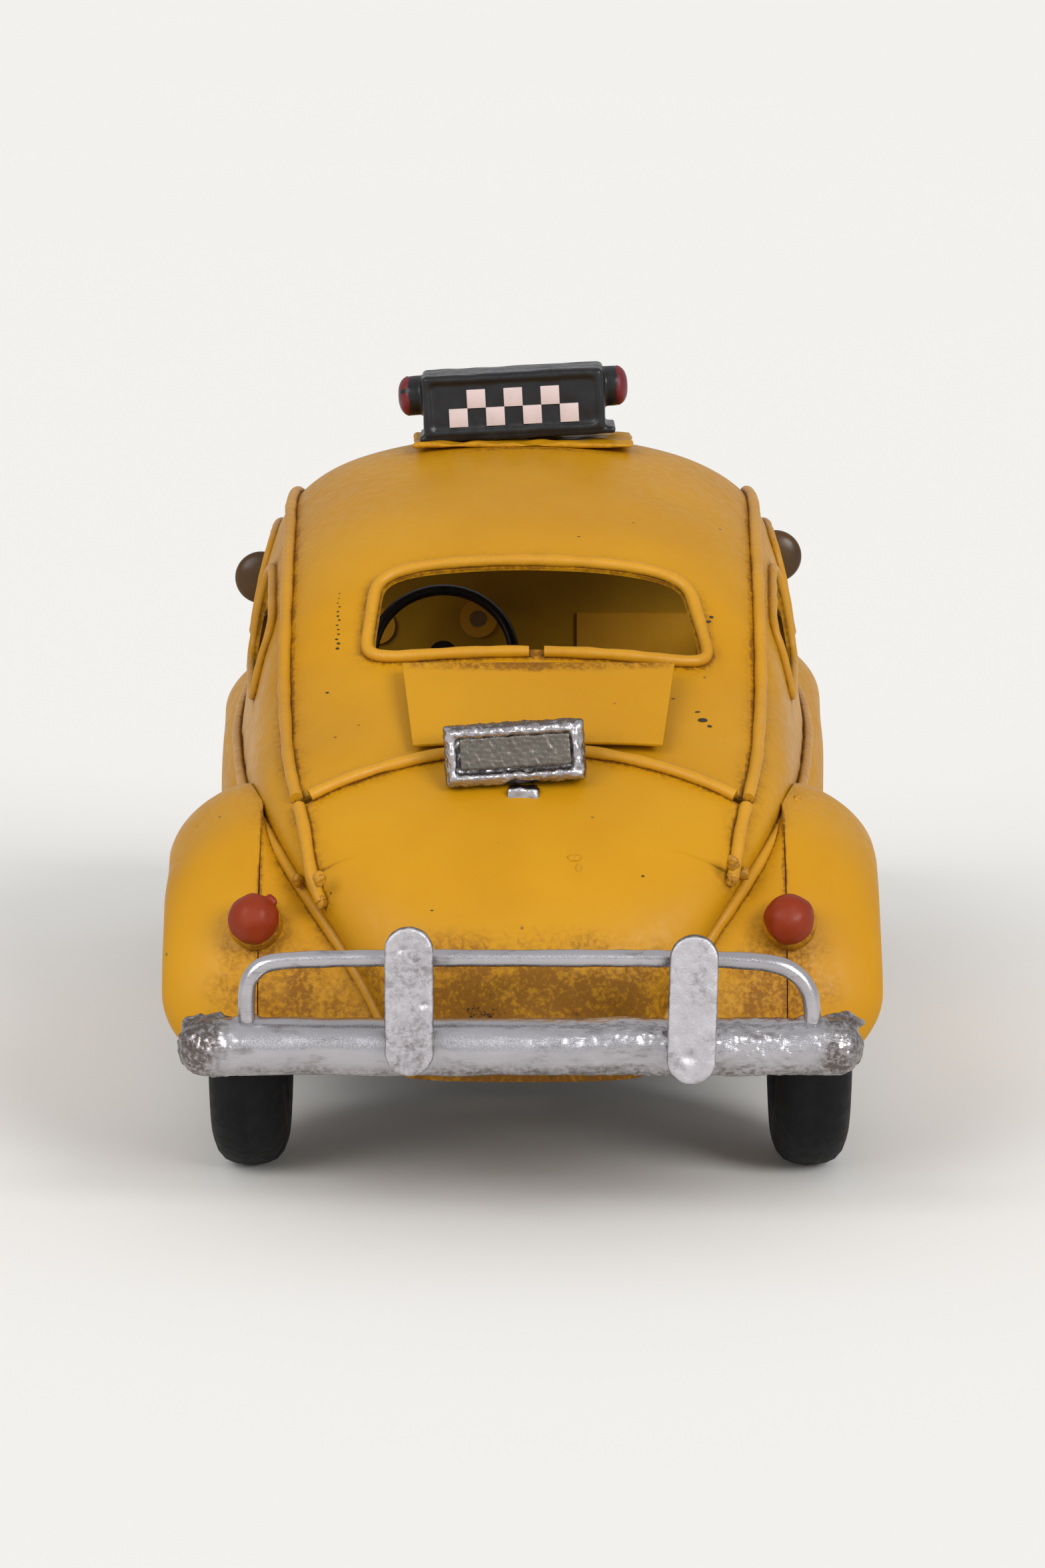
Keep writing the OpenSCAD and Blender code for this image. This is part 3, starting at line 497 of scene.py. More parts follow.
def tube(name: str, path: Array, radius: float, uneven: float = 0.0, seed: int = 1,
         closed: bool = False, taper: float = 1.0) -> bpy.types.Object:
    """A wire along a path, with a hand-drawn unevenness in its thickness.

    Args:
        name: Name of the new object.
        path: Points in millimetres.
        radius: Radius in millimetres.
        uneven: Share of the radius that it swells and thins by.
        seed: Seed of the unevenness.
        closed: Whether the path is a loop.
        taper: Radius of the last point as a share of the first.

    Returns:
        A mesh object.
    """
    line = bpy.data.curves.new(name, "CURVE")
    line.dimensions, line.bevel_depth, line.bevel_resolution = "3D", radius * MM, 5
    line.use_fill_caps = True
    spline = line.splines.new("POLY")
    spline.points.add(len(path) - 1)
    spline.use_cyclic_u = closed
    swell = 1 + uneven * Ripple(6 * radius, seed)(path)
    for point, at, share, t in zip(spline.points, path * MM, swell, np.linspace(0, 1, len(path))):
        point.co = (*at, 1)
        point.radius = float(share) * mix(1, taper, t)
    alone(placed(name, line))
    bpy.ops.object.convert(target="MESH")
    obj = bpy.context.view_layer.objects.active
    with editing(obj):
        seal()
    return obj


def dab(at: Sequence[float], size: Sequence[float], seed: int, rough: float = 0.16) -> bpy.types.Object:
    """A lumpy drop of solder or paint.

    Args:
        at: Its middle in millimetres.
        size: Its half sizes in millimetres.
        seed: Seed of its lumps.
        rough: Height of the lumps as a share of its smallest half size.

    Returns:
        A mesh object.
    """
    obj = primitive(bpy.ops.mesh.primitive_ico_sphere_add, "drop", subdivisions=4, radius=1,
                    location=[c * MM for c in at], scale=[c * MM for c in size])
    small = min(size)
    coarse, fine = Ripple(small * 2.2, seed), Ripple(small * 0.9, seed + 1)
    return ruffle(obj, lambda p: small * rough * (coarse(p) + 0.4 * fine(p)))


def spun(name: str, profile: Sequence[tuple[float, float]], centre: Sequence[float],
         axis: Sequence[float], steps: int = 72) -> bpy.types.Object:
    """A turned shape: a profile spun once round an axis.

    Args:
        name: Name of the new object.
        profile: Radius and distance along the axis of each point, in millimetres.
        centre: Point of the axis at distance 0, in millimetres.
        axis: Direction of the axis.
        steps: How many steps the spin takes.

    Returns:
        A closed mesh object.
    """
    axis_v = Vector(axis).normalized()
    side = axis_v.orthogonal().normalized()
    verts = [Vector(centre) * MM + (side * r + axis_v * h) * MM for r, h in profile]
    mesh = bpy.data.meshes.new(name)
    mesh.from_pydata(verts, [(i, i + 1) for i in range(len(verts) - 1)], [])
    obj = placed(name, mesh)
    with editing(obj):
        bpy.context.tool_settings.mesh_select_mode = (True, False, False)
        bpy.ops.mesh.select_all(action="SELECT")
        bpy.ops.mesh.spin(steps=steps, angle=2 * math.pi, center=Vector(centre) * MM, axis=axis_v)
        seal()
    return obj


def block(name: str, size: Sequence[float], centre: Sequence[float] = (0, 0, 0)) -> bpy.types.Object:
    """A cube primitive at its size and place, ready to be shaped."""
    return primitive(bpy.ops.mesh.primitive_cube_add, name, size=1, location=[c * MM for c in centre],
                     scale=[c * MM for c in size])


def press_face(obj: bpy.types.Object, test: Callable[[bpy.types.MeshPolygon], bool],
               steps: Sequence[tuple[float, Sequence[float]]]) -> None:
    """Insets the picked faces and moves them, once for each step.

    Args:
        obj: The mesh object.
        test: Says which faces are picked at the start.
        steps: For each step, how far to inset and how far to move, in millimetres.
    """
    pick_faces(obj, test)
    with editing(obj):
        for inset, move in steps:
            bpy.ops.mesh.inset(thickness=inset * MM, depth=0)
            bpy.ops.transform.translate(value=[c * MM for c in move])


def turned(obj: bpy.types.Object, centre: Sequence[float], degrees: Sequence[float]) -> bpy.types.Object:
    """Turns a mesh built at the origin and puts it at its place.

    Args:
        obj: The mesh object.
        centre: Its new place in millimetres.
        degrees: Turns about X, Y and Z.

    Returns:
        The same object.
    """
    spin = Matrix.LocRotScale(Vector(centre) * MM, None, None)
    for axis, angle in zip("XYZ", degrees):
        spin = spin @ Matrix.Rotation(math.radians(angle), 4, axis)
    obj.data.transform(spin)
    return obj


def shell(name: str, grid: Array, core: tuple[float, float | None, float], gauge: float = 0.4,
          open_cells: Array | None = None, waves: float = 0.03, seed: int = 3) -> bpy.types.Object:
    """A pressed sheet on a grid of points, with its thickness inwards.

    Args:
        name: Name of the new object.
        grid: Rows of points in millimetres.
        core: A point inside the shape; without a y it is a line along the car.
        gauge: Thickness of the sheet in millimetres.
        open_cells: True where a cell of the grid is cut away.
        waves: Height of the sheet's unevenness in millimetres.
        seed: Seed of the unevenness.

    Returns:
        A closed mesh object.
    """
    rows, columns = grid.shape[:2]
    obj = primitive(bpy.ops.mesh.primitive_grid_add, name, x_subdivisions=columns - 1,
                    y_subdivisions=rows - 1, size=1)
    set_points(obj, grid.reshape(-1, 3))
    centres, normals = np.empty(len(obj.data.polygons) * 3), np.empty(len(obj.data.polygons) * 3)
    obj.data.polygons.foreach_get("center", centres)
    obj.data.polygons.foreach_get("normal", normals)
    out = centres.reshape(-1, 3) / MM - np.array([core[0], core[1] or 0.0, core[2]])
    if core[1] is None:
        out[:, 1] = 0
    inside_out = float((out * normals.reshape(-1, 3)).sum()) < 0
    flags = (open_cells if open_cells is not None else np.zeros((rows - 1, columns - 1), bool)).ravel()
    pick_faces(obj, lambda face: flags[face.index])
    with editing(obj):
        if flags.any():
            bpy.ops.mesh.delete(type="FACE")
        if inside_out:
            bpy.ops.mesh.select_all(action="SELECT")
            bpy.ops.mesh.flip_normals()
    swell = Ripple(11, seed)
    ruffle(obj, lambda p: waves * (swell(p) - 1))
    return use_modifier(obj, "SOLIDIFY", thickness=gauge * MM, offset=-1, use_even_offset=False)


# ---------- grime ----------


@dataclass
class Grime:
    """Where the brown wash has settled: beside wires and seams, and in stained places."""

    lines: list[tuple[KDTree, float, float, float]] = field(default_factory=list)
    stains: list[tuple[Array, Array, float]] = field(default_factory=list)

    def line(self, path: Array, radius: float, strength: float = 1.0, halo: float = 1.0) -> None:
        """Lets wash settle along a path.

        Args:
            path: Points in millimetres.
            radius: Radius of the wire that lies there.
            strength: How dark the crease is.
            halo: How strong the faint wash further out is.
        """
        self.lines.append((tree_of(even_path(path, 0.25)), radius, strength, halo))

    def stain(self, centre: Sequence[float], reach: Sequence[float], strength: float) -> None:
        """Adds a stained place with half sizes in millimetres."""
        self.stains.append((np.array(centre, float), np.array(reach, float), strength))

    def level(self, points: Array) -> Array:
        """Strength of the wash.

        Args:
            points: Points in millimetres.

        Returns:
            A level from 0 to 1 for each point.
        """
        total = np.zeros(len(points))
        for tree, radius, strength, halo in self.lines:
            far = np.array([tree.find(point)[2] for point in points]) - radius
            crease = strength * np.exp(-((np.maximum(far, 0) / 0.24) ** 2))
            faint = 0.34 * halo * np.exp(-np.maximum(far, 0) / 1.3)
            total = np.maximum(total, np.maximum(crease, faint))
        for centre, reach, strength in self.stains:
            away = np.linalg.norm((points - centre) / reach, axis=1)
            total = np.maximum(total, strength * np.clip(1.25 - away, 0, 1) ** 0.8)
        return np.clip(total, 0, 1)


def turned_away(obj: bpy.types.Object, towards: Sequence[float], start: float, gain: float) -> Array:
    """How far each vertex's normal leans away from a direction.

    Args:
        obj: The mesh object.
        towards: The direction.
        start: Cosine at which it starts to count.
        gain: How fast it then grows.

    Returns:
        A level from 0 to 1 for each vertex.
    """
    return np.clip((start - normals_of(obj) @ np.array(towards)) * gain, 0, 1)


def write_attribute(obj: bpy.types.Object, name: str, values: Array) -> None:
    """Stores one number for each vertex."""
    layer = obj.data.attributes.get(name) or obj.data.attributes.new(name, "FLOAT", "POINT")
    layer.data.foreach_set("value", values.astype(np.float32))


# ---------- finishes ----------


class Sheet:
    """Wires one node tree."""

    def __init__(self, tree: bpy.types.NodeTree) -> None:
        """Starts on a tree and empties it."""
        self.tree = tree
        tree.nodes.clear()

    def add(self, kind: str, sockets: dict | None = None, **settings: object) -> bpy.types.Node:
        """Adds a node.

        Args:
            kind: Its type, without the words ShaderNode.
            sockets: Values or outputs for its inputs, by name or number.
            **settings: Its settings.

        Returns:
            The node.
        """
        node = self.tree.nodes.new("ShaderNode" + kind if not kind.startswith("Node") else kind)
        for name, value in settings.items():
            setattr(node, name, value)
        for name, value in (sockets or {}).items():
            if isinstance(value, bpy.types.NodeSocket):
                self.tree.links.new(value, node.inputs[name])
            else:
                node.inputs[name].default_value = value
        return node

    def noise(self, scale: float, detail: float = 3.0, vector: object = None, rough: float = 0.5) -> object:
        """Soft noise on Object coordinates, or on another vector."""
        where = vector or self.add("TexCoord").outputs["Object"]
        sockets = {"Vector": where, "Scale": scale, "Detail": detail, "Roughness": rough}
        return self.add("TexNoise", sockets).outputs[0]

    def calc(self, operation: str, a: object, b: object = 0.0) -> object:
        """The result of a sum on two values."""
        return self.add("Math", {0: a, 1: b}, operation=operation).outputs[0]

    def ease(self, value: object, low: float, high: float, start: float = 0.0, end: float = 1.0) -> object:
        """A value eased from start to end between low and high."""
        sockets = {"Value": value, "From Min": low, "From Max": high, "To Min": start, "To Max": end}
        return self.add("MapRange", sockets, interpolation_type="SMOOTHSTEP").outputs[0]

    def blend(self, share: object, a: object, b: object) -> object:
        """A colour part of the way from a to b, each a colour or an output."""
        a, b = (c if isinstance(c, bpy.types.NodeSocket) else (*c, 1) for c in (a, b))
        return self.add("Mix", {0: share, 6: a, 7: b}, data_type="RGBA").outputs[2]

    def stored(self, name: str) -> object:
        """A number stored on the vertices."""
        return self.add("Attribute", attribute_name=name).outputs["Fac"]

    def wash_and_shade(self) -> tuple[object, object]:
        """Masks of the thin and the thick wash and painted shade on this piece."""
        masks = self.add("Group", node_tree=settled_wash_and_shade())
        self.tree.links.new(self.stored("wash_and_shade"), masks.inputs["Level"])
        return masks.outputs["Thin"], masks.outputs["Thick"]

    def speckle(self, coat: object, scale: float, rarity: float, share: float, colour: object) -> object:
        """A coat with a few tiny specks of another colour."""
        spots = self.add("Group", {"Scale": scale, "Rarity": rarity}, node_tree=specks()).outputs[0]
        return self.blend(self.calc("MULTIPLY", spots, share), coat, colour)

    def bump(self, height: object, depth: float) -> object:
        """The surface's direction under a height, which is as deep as given in metres."""
        return self.add("Bump", {"Height": height, "Strength": 1.0, "Distance": depth}).outputs[0]

    def stretched(self, stretch: Sequence[float]) -> object:
        """Object coordinates scaled along each axis."""
        where = self.add("TexCoord").outputs["Object"]
        return self.add("Mapping", {"Vector": where, "Scale": stretch}).outputs[0]


def node_group(name: str, inputs: Sequence[tuple[str, float]], outputs: Sequence[str],
               wire: Callable[[Sheet, bpy.types.Node], Sequence[object]]) -> bpy.types.NodeTree:
    """Builds a shader node group once.

    Args:
        name: Name of the group.
        inputs: Names and usual values of its number inputs.
        outputs: Names of its number outputs.
        wire: Wires the group from its input node and returns its results.

    Returns:
        The group.
    """
    known = bpy.data.node_groups.get(name)
    if known:
        return known
    tree = bpy.data.node_groups.new(name, "ShaderNodeTree")
    for label, value in inputs:
        tree.interface.new_socket(label, in_out="INPUT", socket_type="NodeSocketFloat").default_value = value
    for label in outputs:
        tree.interface.new_socket(label, in_out="OUTPUT", socket_type="NodeSocketFloat")
    sheet = Sheet(tree)
    results = wire(sheet, sheet.add("NodeGroupInput"))
    sheet.add("NodeGroupOutput", dict(zip(outputs, results)))
    return tree


def orange_peel() -> bpy.types.NodeTree:
    """Height of a sprayed or brushed coat: long swells, peel and fine grain."""
    def wire(sheet: Sheet, given: bpy.types.Node) -> Sequence[object]:
        """Adds three noises together."""
        swell = sheet.calc("MULTIPLY", sheet.noise(260, 2), given.outputs["Swell"])
        peel = sheet.calc("MULTIPLY", sheet.noise(1500, 2), given.outputs["Peel"])
        grain = sheet.calc("MULTIPLY", sheet.noise(6500, 2), given.outputs["Grain"])
        return [sheet.calc("ADD", swell, sheet.calc("ADD", peel, grain))]
    return node_group("orange_peel", [("Swell", 1.0), ("Peel", 0.35), ("Grain", 0.08)], ["Height"], wire)


def settled_wash_and_shade() -> bpy.types.NodeTree:
    """Masks of thin and thick wash and painted shade, broken up by noise, from the stored level."""
    def wire(sheet: Sheet, given: bpy.types.Node) -> Sequence[object]:
        """Breaks the level up and cuts two masks from it."""
        level = given.outputs["Level"]
        cloud = sheet.ease(sheet.noise(260, 4, rough=0.6), 0.36, 0.62, 0.5, 1.0)
        fleck = sheet.ease(sheet.noise(1900, 4, rough=0.65), 0.34, 0.64, 0.45, 1.2)
        worked = sheet.calc("MULTIPLY", level, sheet.calc("MULTIPLY", cloud, fleck))
        return [sheet.ease(worked, 0.02, 0.52), sheet.ease(worked, 0.74, 1.05)]
    return node_group("settled_wash_and_shade", [("Level", 0.0)], ["Thin", "Thick"], wire)


def specks() -> bpy.types.NodeTree:
    """Mask of a few tiny dark specks."""
    def wire(sheet: Sheet, given: bpy.types.Node) -> Sequence[object]:
        """Keeps the middles of a few random cells."""
        where = sheet.add("TexCoord").outputs["Object"]
        cells = sheet.add("TexVoronoi", {"Vector": where, "Scale": given.outputs["Scale"]})
        spot = sheet.ease(cells.outputs["Distance"], 0.03, 0.11, 1.0, 0.0)
        chosen = sheet.add("SeparateColor", {"Color": cells.outputs["Color"]}).outputs[0]
        few = sheet.calc("GREATER_THAN", chosen, given.outputs["Rarity"])
        return [sheet.calc("MULTIPLY", spot, few)]
    return node_group("specks", [("Scale", 420.0), ("Rarity", 0.9)], ["Mask"], wire)


def new_material(name: str) -> tuple[bpy.types.Material, Sheet]:
    """An empty node material and the sheet that wires it."""
    material = bpy.data.materials.new(name)
    material.use_nodes = True
    return material, Sheet(material.node_tree)


def shade(sheet: Sheet, sockets: dict) -> None:
    """Adds the shader with these sockets and the material's output."""
    shader = sheet.add("BsdfPrincipled", sockets)
    sheet.add("OutputMaterial", {"Surface": shader.outputs[0]})


@dataclass(frozen=True)
class Enamel:
    """Brushed satin enamel over tin, with a brown wash settled in its creases and painted shade where the
    stored level holds it.
    """

    name: str
    colour: tuple[float, float, float]
    deep: tuple[float, float, float]
    wash_and_shade: tuple[float, float, float] = (0.165, 0.058, 0.002)
    crust_and_shade: tuple[float, float, float] = (0.032, 0.013, 0.002)
    roughness: float = 0.44
    peel: float = 0.00003
    gloss: float = 0.2
    speck: tuple[float, float, float] = (0.04, 0.03, 0.01)
    speck_rarity: float = 0.9

    def material(self) -> bpy.types.Material:
        """Wires the finish."""
        material, sheet = new_material(self.name)
        thin, thick = sheet.wash_and_shade()
        drift = sheet.ease(sheet.noise(55, 3), 0.3, 0.7)
        coat = sheet.blend(drift, self.colour, self.deep)
        # The wash colour and the dark crust also paint shade where the stored level holds it, such as on the
        # wires' lower sides.
        stained_and_shaded = sheet.blend(sheet.calc("MULTIPLY", thin, 0.85), coat, self.wash_and_shade)
        crusted_and_shaded = sheet.blend(thick, stained_and_shaded, self.crust_and_shade)
        spotted = sheet.speckle(crusted_and_shaded, 420.0, self.speck_rarity, 0.75, self.speck)
        patchy = sheet.ease(sheet.noise(900, 4), 0.3, 0.7, self.roughness - 0.05, self.roughness + 0.07)
        rough = sheet.calc("ADD", patchy, sheet.calc("MULTIPLY", thin, 0.16))
        height = sheet.add("Group", node_tree=orange_peel()).outputs[0]
        height = sheet.calc("ADD", height, sheet.calc("MULTIPLY", thick, 0.6))
        shade(sheet, {"Base Color": spotted, "Roughness": rough, "Normal": sheet.bump(height, self.peel),
                      "Specular IOR Level": self.gloss})
        return material


@dataclass(frozen=True)
class SilverPaint:
    """Silver paint brushed over solder, streaky in some places and lumpy in others, darkened by grime and
    painted shade where the stored level holds it.
    """

    name: str
    colour: tuple[float, float, float] = (0.41, 0.395, 0.415)
    grime_and_shade: tuple[float, float, float] = (0.10, 0.075, 0.062)
    roughness: float = 0.36
    lumps: float = 0.00010
    scale: float = 1100.0
    metallic: float = 0.9
    stretch: tuple[float, float, float] = (1.0, 1.0, 1.0)

    def material(self) -> bpy.types.Material:
        """Wires the finish."""
        material, sheet = new_material(self.name)
        thin, _ = sheet.wash_and_shade()
        where = sheet.stretched(self.stretch)
        cloud = sheet.ease(sheet.noise(330, 5, where, 0.6), 0.3, 0.72)
        coat = sheet.blend(cloud, tuple(min(1.0, c * 1.2) for c in self.colour), self.colour)
        dull = sheet.ease(sheet.noise(720, 5, where, 0.65), 0.52, 0.72)
        coat = sheet.blend(sheet.calc("MULTIPLY", dull, 0.5), coat, self.grime_and_shade)
        # The stored level darkens the coat with grime and with painted shade on undersides and sides turned
        # away.
        stained_and_shaded = sheet.blend(sheet.calc("MULTIPLY", thin, 0.9), coat, self.grime_and_shade)
        flake = sheet.noise(9000, 2)
        rough = sheet.ease(flake, 0.25, 0.75, self.roughness - 0.08, self.roughness + 0.12)
        beaten = sheet.noise(self.scale, 4, where, 0.55)
        strength = sheet.calc("ADD", sheet.calc("MULTIPLY", sheet.stored("hammer"), 2.2), 0.45)
        beaten = sheet.calc("MULTIPLY", beaten, strength)
        height = sheet.calc("ADD", beaten, sheet.calc("MULTIPLY", flake, 0.10))
        shade(sheet, {"Base Color": stained_and_shaded, "Roughness": rough, "Normal": sheet.bump(height, self.lumps),
                      "Metallic": self.metallic})
        return material


@dataclass(frozen=True)
class Plain:
    """A simple coat or bare stuff, with drift in its colour, grain in its gloss and a fine texture."""

    name: str
    colour: tuple[float, float, float]
    worn: tuple[float, float, float]
    roughness: float = 0.4
    metallic: float = 0.0
    scale: float = 1400.0
    texture: float = 0.00003
    wear: float = 0.5
    gloss: float = 0.4
    stretch: tuple[float, float, float] = (1.0, 1.0, 1.0)

    def material(self) -> bpy.types.Material:
        """Wires the finish."""
        material, sheet = new_material(self.name)
        where = sheet.stretched(self.stretch)
        cloud = sheet.ease(sheet.noise(self.scale * 0.3, 5, where, 0.62), 0.42, 0.78)
        colour = sheet.blend(sheet.calc("MULTIPLY", cloud, self.wear), self.colour, self.worn)
        colour = sheet.speckle(colour, 700.0, 0.93, 0.6, self.worn)
        rough = sheet.ease(sheet.noise(self.scale, 4, where), 0.25, 0.75,
                           self.roughness - 0.06, self.roughness + 0.1)
        height = sheet.noise(self.scale, 5, where, 0.6)
        shade(sheet, {"Base Color": colour, "Roughness": rough, "Normal": sheet.bump(height, self.texture),
                      "Metallic": self.metallic, "Specular IOR Level": self.gloss})
        return material


@dataclass
class Workshop:
    """The finishes by name, the grime, the body's form, and the last step of every piece."""

    form: BodyForm = field(default_factory=BodyForm)
    grime: Grime = field(default_factory=Grime)
    finishes: dict[str, bpy.types.Material] = field(default_factory=dict)

    def mix_paints(self) -> None:
        """Makes every material once."""
        mustard, deep = (0.475, 0.225, 0.004), (0.43, 0.195, 0.002)
        recipes = [
            Enamel("mustard_enamel", mustard, deep),
            Enamel("bead_enamel", (0.50, 0.235, 0.007), deep, peel=0.00006, speck_rarity=0.96, gloss=0.35),
            # Painted shade: the dash in the cabin is a darker copy of the mustard enamel.
            Enamel("shaded_dash_enamel", (0.36, 0.19, 0.006), (0.26, 0.13, 0.004), gloss=0.2),
            SilverPaint("silver_smooth", lumps=0.00007, scale=900.0, roughness=0.23, stretch=(0.3, 1, 1)),
            SilverPaint("silver_lumpy", lumps=0.00014, roughness=0.24),
            SilverPaint("silver_matte", (0.43, 0.415, 0.44), roughness=0.46, lumps=0.00010, scale=3200.0,
                        metallic=0.8),
            SilverPaint("grey_granular", (0.13, 0.118, 0.10), roughness=0.36, lumps=0.00010, scale=3000.0),
            Plain("satin_black", (0.007, 0.007, 0.008), (0.016, 0.016, 0.018), 0.33, texture=0.00002,
                  gloss=0.35),
            Plain("crimson_enamel", (0.13, 0.006, 0.010), (0.06, 0.003, 0.005), 0.4),
            Plain("lamp_red", (0.205, 0.022, 0.003), (0.14, 0.014, 0.002), 0.42, scale=900.0, texture=0.00005,
                  gloss=0.22),
            Plain("chalk_paint", (0.52, 0.42, 0.40), (0.42, 0.33, 0.32), 0.5, texture=0.00004),
            Plain("rubber", (0.006, 0.006, 0.0065), (0.016, 0.016, 0.018), 0.6, scale=900.0, wear=0.3,
                  gloss=0.14),
            Plain("mirror_olive", (0.08, 0.038, 0.010), (0.035, 0.022, 0.010), 0.3, scale=450.0, wear=0.9,
                  gloss=0.25),
            Plain("dried_paint", (0.022, 0.018, 0.005), (0.05, 0.03, 0.006), 0.6),
            Plain("steel", (0.55, 0.54, 0.53), (0.3, 0.27, 0.24), 0.3, 1.0),
            Plain("brass", (0.62, 0.43, 0.15), (0.3, 0.19, 0.06), 0.32, 1.0),
            Plain("cast_iron", (0.09, 0.09, 0.095), (0.05, 0.04, 0.035), 0.6, 0.6, texture=0.00009),
            Plain("cream_enamel", (0.5, 0.45, 0.34), (0.36, 0.30, 0.20), 0.3),
            Plain("grey_tin", (0.36, 0.36, 0.37), (0.2, 0.17, 0.14), 0.42, 0.8, stretch=(1, 0.2, 1)),
        ]
        self.finishes = {recipe.name: recipe.material() for recipe in recipes}

    def finish(self, obj: bpy.types.Object, finish: str, slot: Slot, *nodes: str, body: str = CAR,
               angle: float = 40.0, washed: bool = True, own_shade_and_wash: Array | None = None) -> bpy.types.Object:
        """Shades, paints and mounts a finished mesh.

        Args:
            obj: The piece.
            finish: Name of its finish.
            slot: The record's slot it belongs to; it is not used.
            *nodes: CAD nodes it stands for.
            body: CAD body it rides on.
            angle: Sharpest angle that is shaded smooth, in degrees.
            washed: Whether the level of wash and painted shade is stored on it.
            own_shade_and_wash: Level of painted shade and wash of its own, for each vertex.

        Returns:
            The same object.
        """
        alone(obj)
        bpy.ops.object.shade_smooth_by_angle(angle=math.radians(angle))
        obj.data.materials.clear()
        obj.data.materials.append(self.finishes[finish])
        if washed:
            level = self.grime.level(points_of(obj))
            write_attribute(obj, "wash_and_shade", level if own_shade_and_wash is None else np.maximum(level * 0.12, own_shade_and_wash))
        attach(obj, body)
        if nodes:
            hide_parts(*nodes)
        log.info("%s: %d faces, %s", obj.name, len(obj.data.polygons), finish)
        return obj


# ---------- sub-assemblies ----------


@dataclass
class Beadwork:
    """The round wires soldered over the body's joints and round its windows."""

    shop: Workshop
    radius: float = 0.65
    lift: float = 0.39
    rear_pane: Pane = Pane((6.95, 8.9), (-15.7, 18.9), (-14.6, 16.7), 8.0)
    screen: Pane = Pane((15.15, 17.35), (-20.5, 20.5), (-20.5, 20.5), 7.0)
    quarter: tuple[float, float] = (9.3, 11.0)
    door: tuple[float, float] = (11.9, 14.7)
    glass: tuple[float, float] = (0.40, 0.85)
    runs: dict[str, list[tuple[Array, Array, float, bool]]] = field(default_factory=dict)

    def on_skin(self, u: Array, a: Array, lift: float) -> tuple[Array, Array]:
        """Points lifted off the body, and the body's outward directions there."""
        normal = self.shop.form.normal(u, a)
        return self.shop.form.skin(u, a) + lift * normal, normal

    def keep(self, node: str, path: Array, out: Array, radius: float, closed: bool = False,
             both: bool = False) -> None:
        """Notes a wire, and one on the other side too if asked.

        Args:
            node: CAD node it belongs to.
            path: Points in millimetres.
            out: Outward directions of the sheet under it.
            radius: Radius of the wire.
            closed: Whether it is a loop.
            both: Whether the other side has the same wire.
        """
        both_ways = [(1, 1, 1), (-1, 1, 1)] if both else [(1, 1, 1)]
        for flip in both_ways:
            self.runs.setdefault(node, []).append((path * flip, out * flip, radius, closed))

    def lay_out(self) -> None:
        """Works out every wire's path, and lets grime settle along it."""
        form = self.shop.form
        for node, pane, grow in (("rear_window_bead", self.rear_pane, 0.045),
                                 ("windscreen_bead", self.screen, 0.04)):
            u, x = pane.edge(360, -90, 0.0)
            middle_u, middle_x = pane.place(np.zeros(1), np.zeros(1))
            away_u, away_x = u - middle_u, x - middle_x
            u, x = u + np.sign(away_u) * 0.10 * np.abs(away_u / np.abs(away_u).max()) ** 4, x + away_x * grow
            path, out = self.on_skin(u, form.angle(u, x), self.lift)
            self.keep(node, path[2:-2] if node == "rear_window_bead" else path, out, self.radius,
                      node != "rear_window_bead")
        for side, low in ((1, 3.15), (-1, 2.8)):
            for first, last in ((low, 4.28), (4.42, 13.6)):
                u = np.linspace(first, last, 60)
                path, out = self.on_skin(u, form.seam(u), self.lift)
                self.keep("side_seam_beads", path * (side, 1, 1), out * (side, 1, 1), self.radius)
        end = float(form.seam(LID_RIB)) + 5.5
        a = np.linspace(end, 180 - end, 80)
        path, out = self.on_skin(form.lid_edge(a), a, self.lift)
        self.keep("lid_arc_bead", path, out, self.radius)
        u = np.linspace(0.8, 4.95, 50)
        path = form.skin(u, 0.0) + (0.35, -0.55, 0.35)
        self.keep("fender_beads", path, unit(form.normal(u, 6.0) + (0, -0.6, 0)), self.radius, both=True)
        for pane in (self.quarter, self.door):
            loop = Pane(pane, self.glass, self.glass, 6.0)
            u, share = loop.edge(140, 90, 0.06)
            path, out = self.on_skin(u, form.wall_angle(u, share), self.lift * 0.4)
            self.keep("side_window_beads", path, out, self.radius * 0.8, True, both=True)
        u = np.linspace(5.6, 18.0, 120)
        path = form.skin(u, 0.0) + (self.lift, 0, 0)
        self.keep("belt_beads", path, np.tile([1.0, 0, 0], (len(u), 1)), self.radius * 0.9, both=True)
        for runs in self.runs.values():
            for path, _, radius, _ in runs:
                self.shop.grime.line(path, radius)

    def build(self) -> None:
        """Draws the wires, solders their ends and paints them, with painted shade on their lower sides."""
        blobs = {
            "side_seam_beads": [(-20.2, -72.4, 34.0), (21.0, -71.0, 35.4)],
            "fender_beads": [(-22.6, -67.3, 32.9), (22.2, -67.2, 33.6), (28.2, -54, 38.4)],
        }
        for number, (node, runs) in enumerate(self.runs.items()):
            wires, levels = [], []
            for i, (path, out, radius, closed) in enumerate(runs):
                even = even_path(path, 0.45, closed)
                even = even[:-1] if closed else even
                wire = tube(node, even, radius, 0.045, 10 * number + i, closed)
                wires.append(wire)
                points = points_of(wire)
                tree = tree_of(path)
                near = np.array([tree.find(point)[1] for point in points])
                # Painted shade: each wire is darkened on its lower side, where it meets the sheet.
                height = ((points - path[near]) * out[near]).sum(1) / radius
                levels.append(np.clip((-0.22 - height) * 2.6, 0, 1))
            ends = [path[0] for path, _, _, _ in runs[::2]] if node == "side_seam_beads" else []
            for i, at in enumerate([*blobs.get(node, []), *ends]):
                drop = dab(at, (0.62, 0.55, 0.72), 40 + i, 0.13)
                wires.append(drop)
                levels.append(np.full(len(drop.data.vertices), 0.35))
            whole = merge(wires, node + "_soldered")
            self.shop.finish(whole, "bead_enamel", Slot.YELLOW, node, own_shade_and_wash=np.concatenate(levels), angle=70)


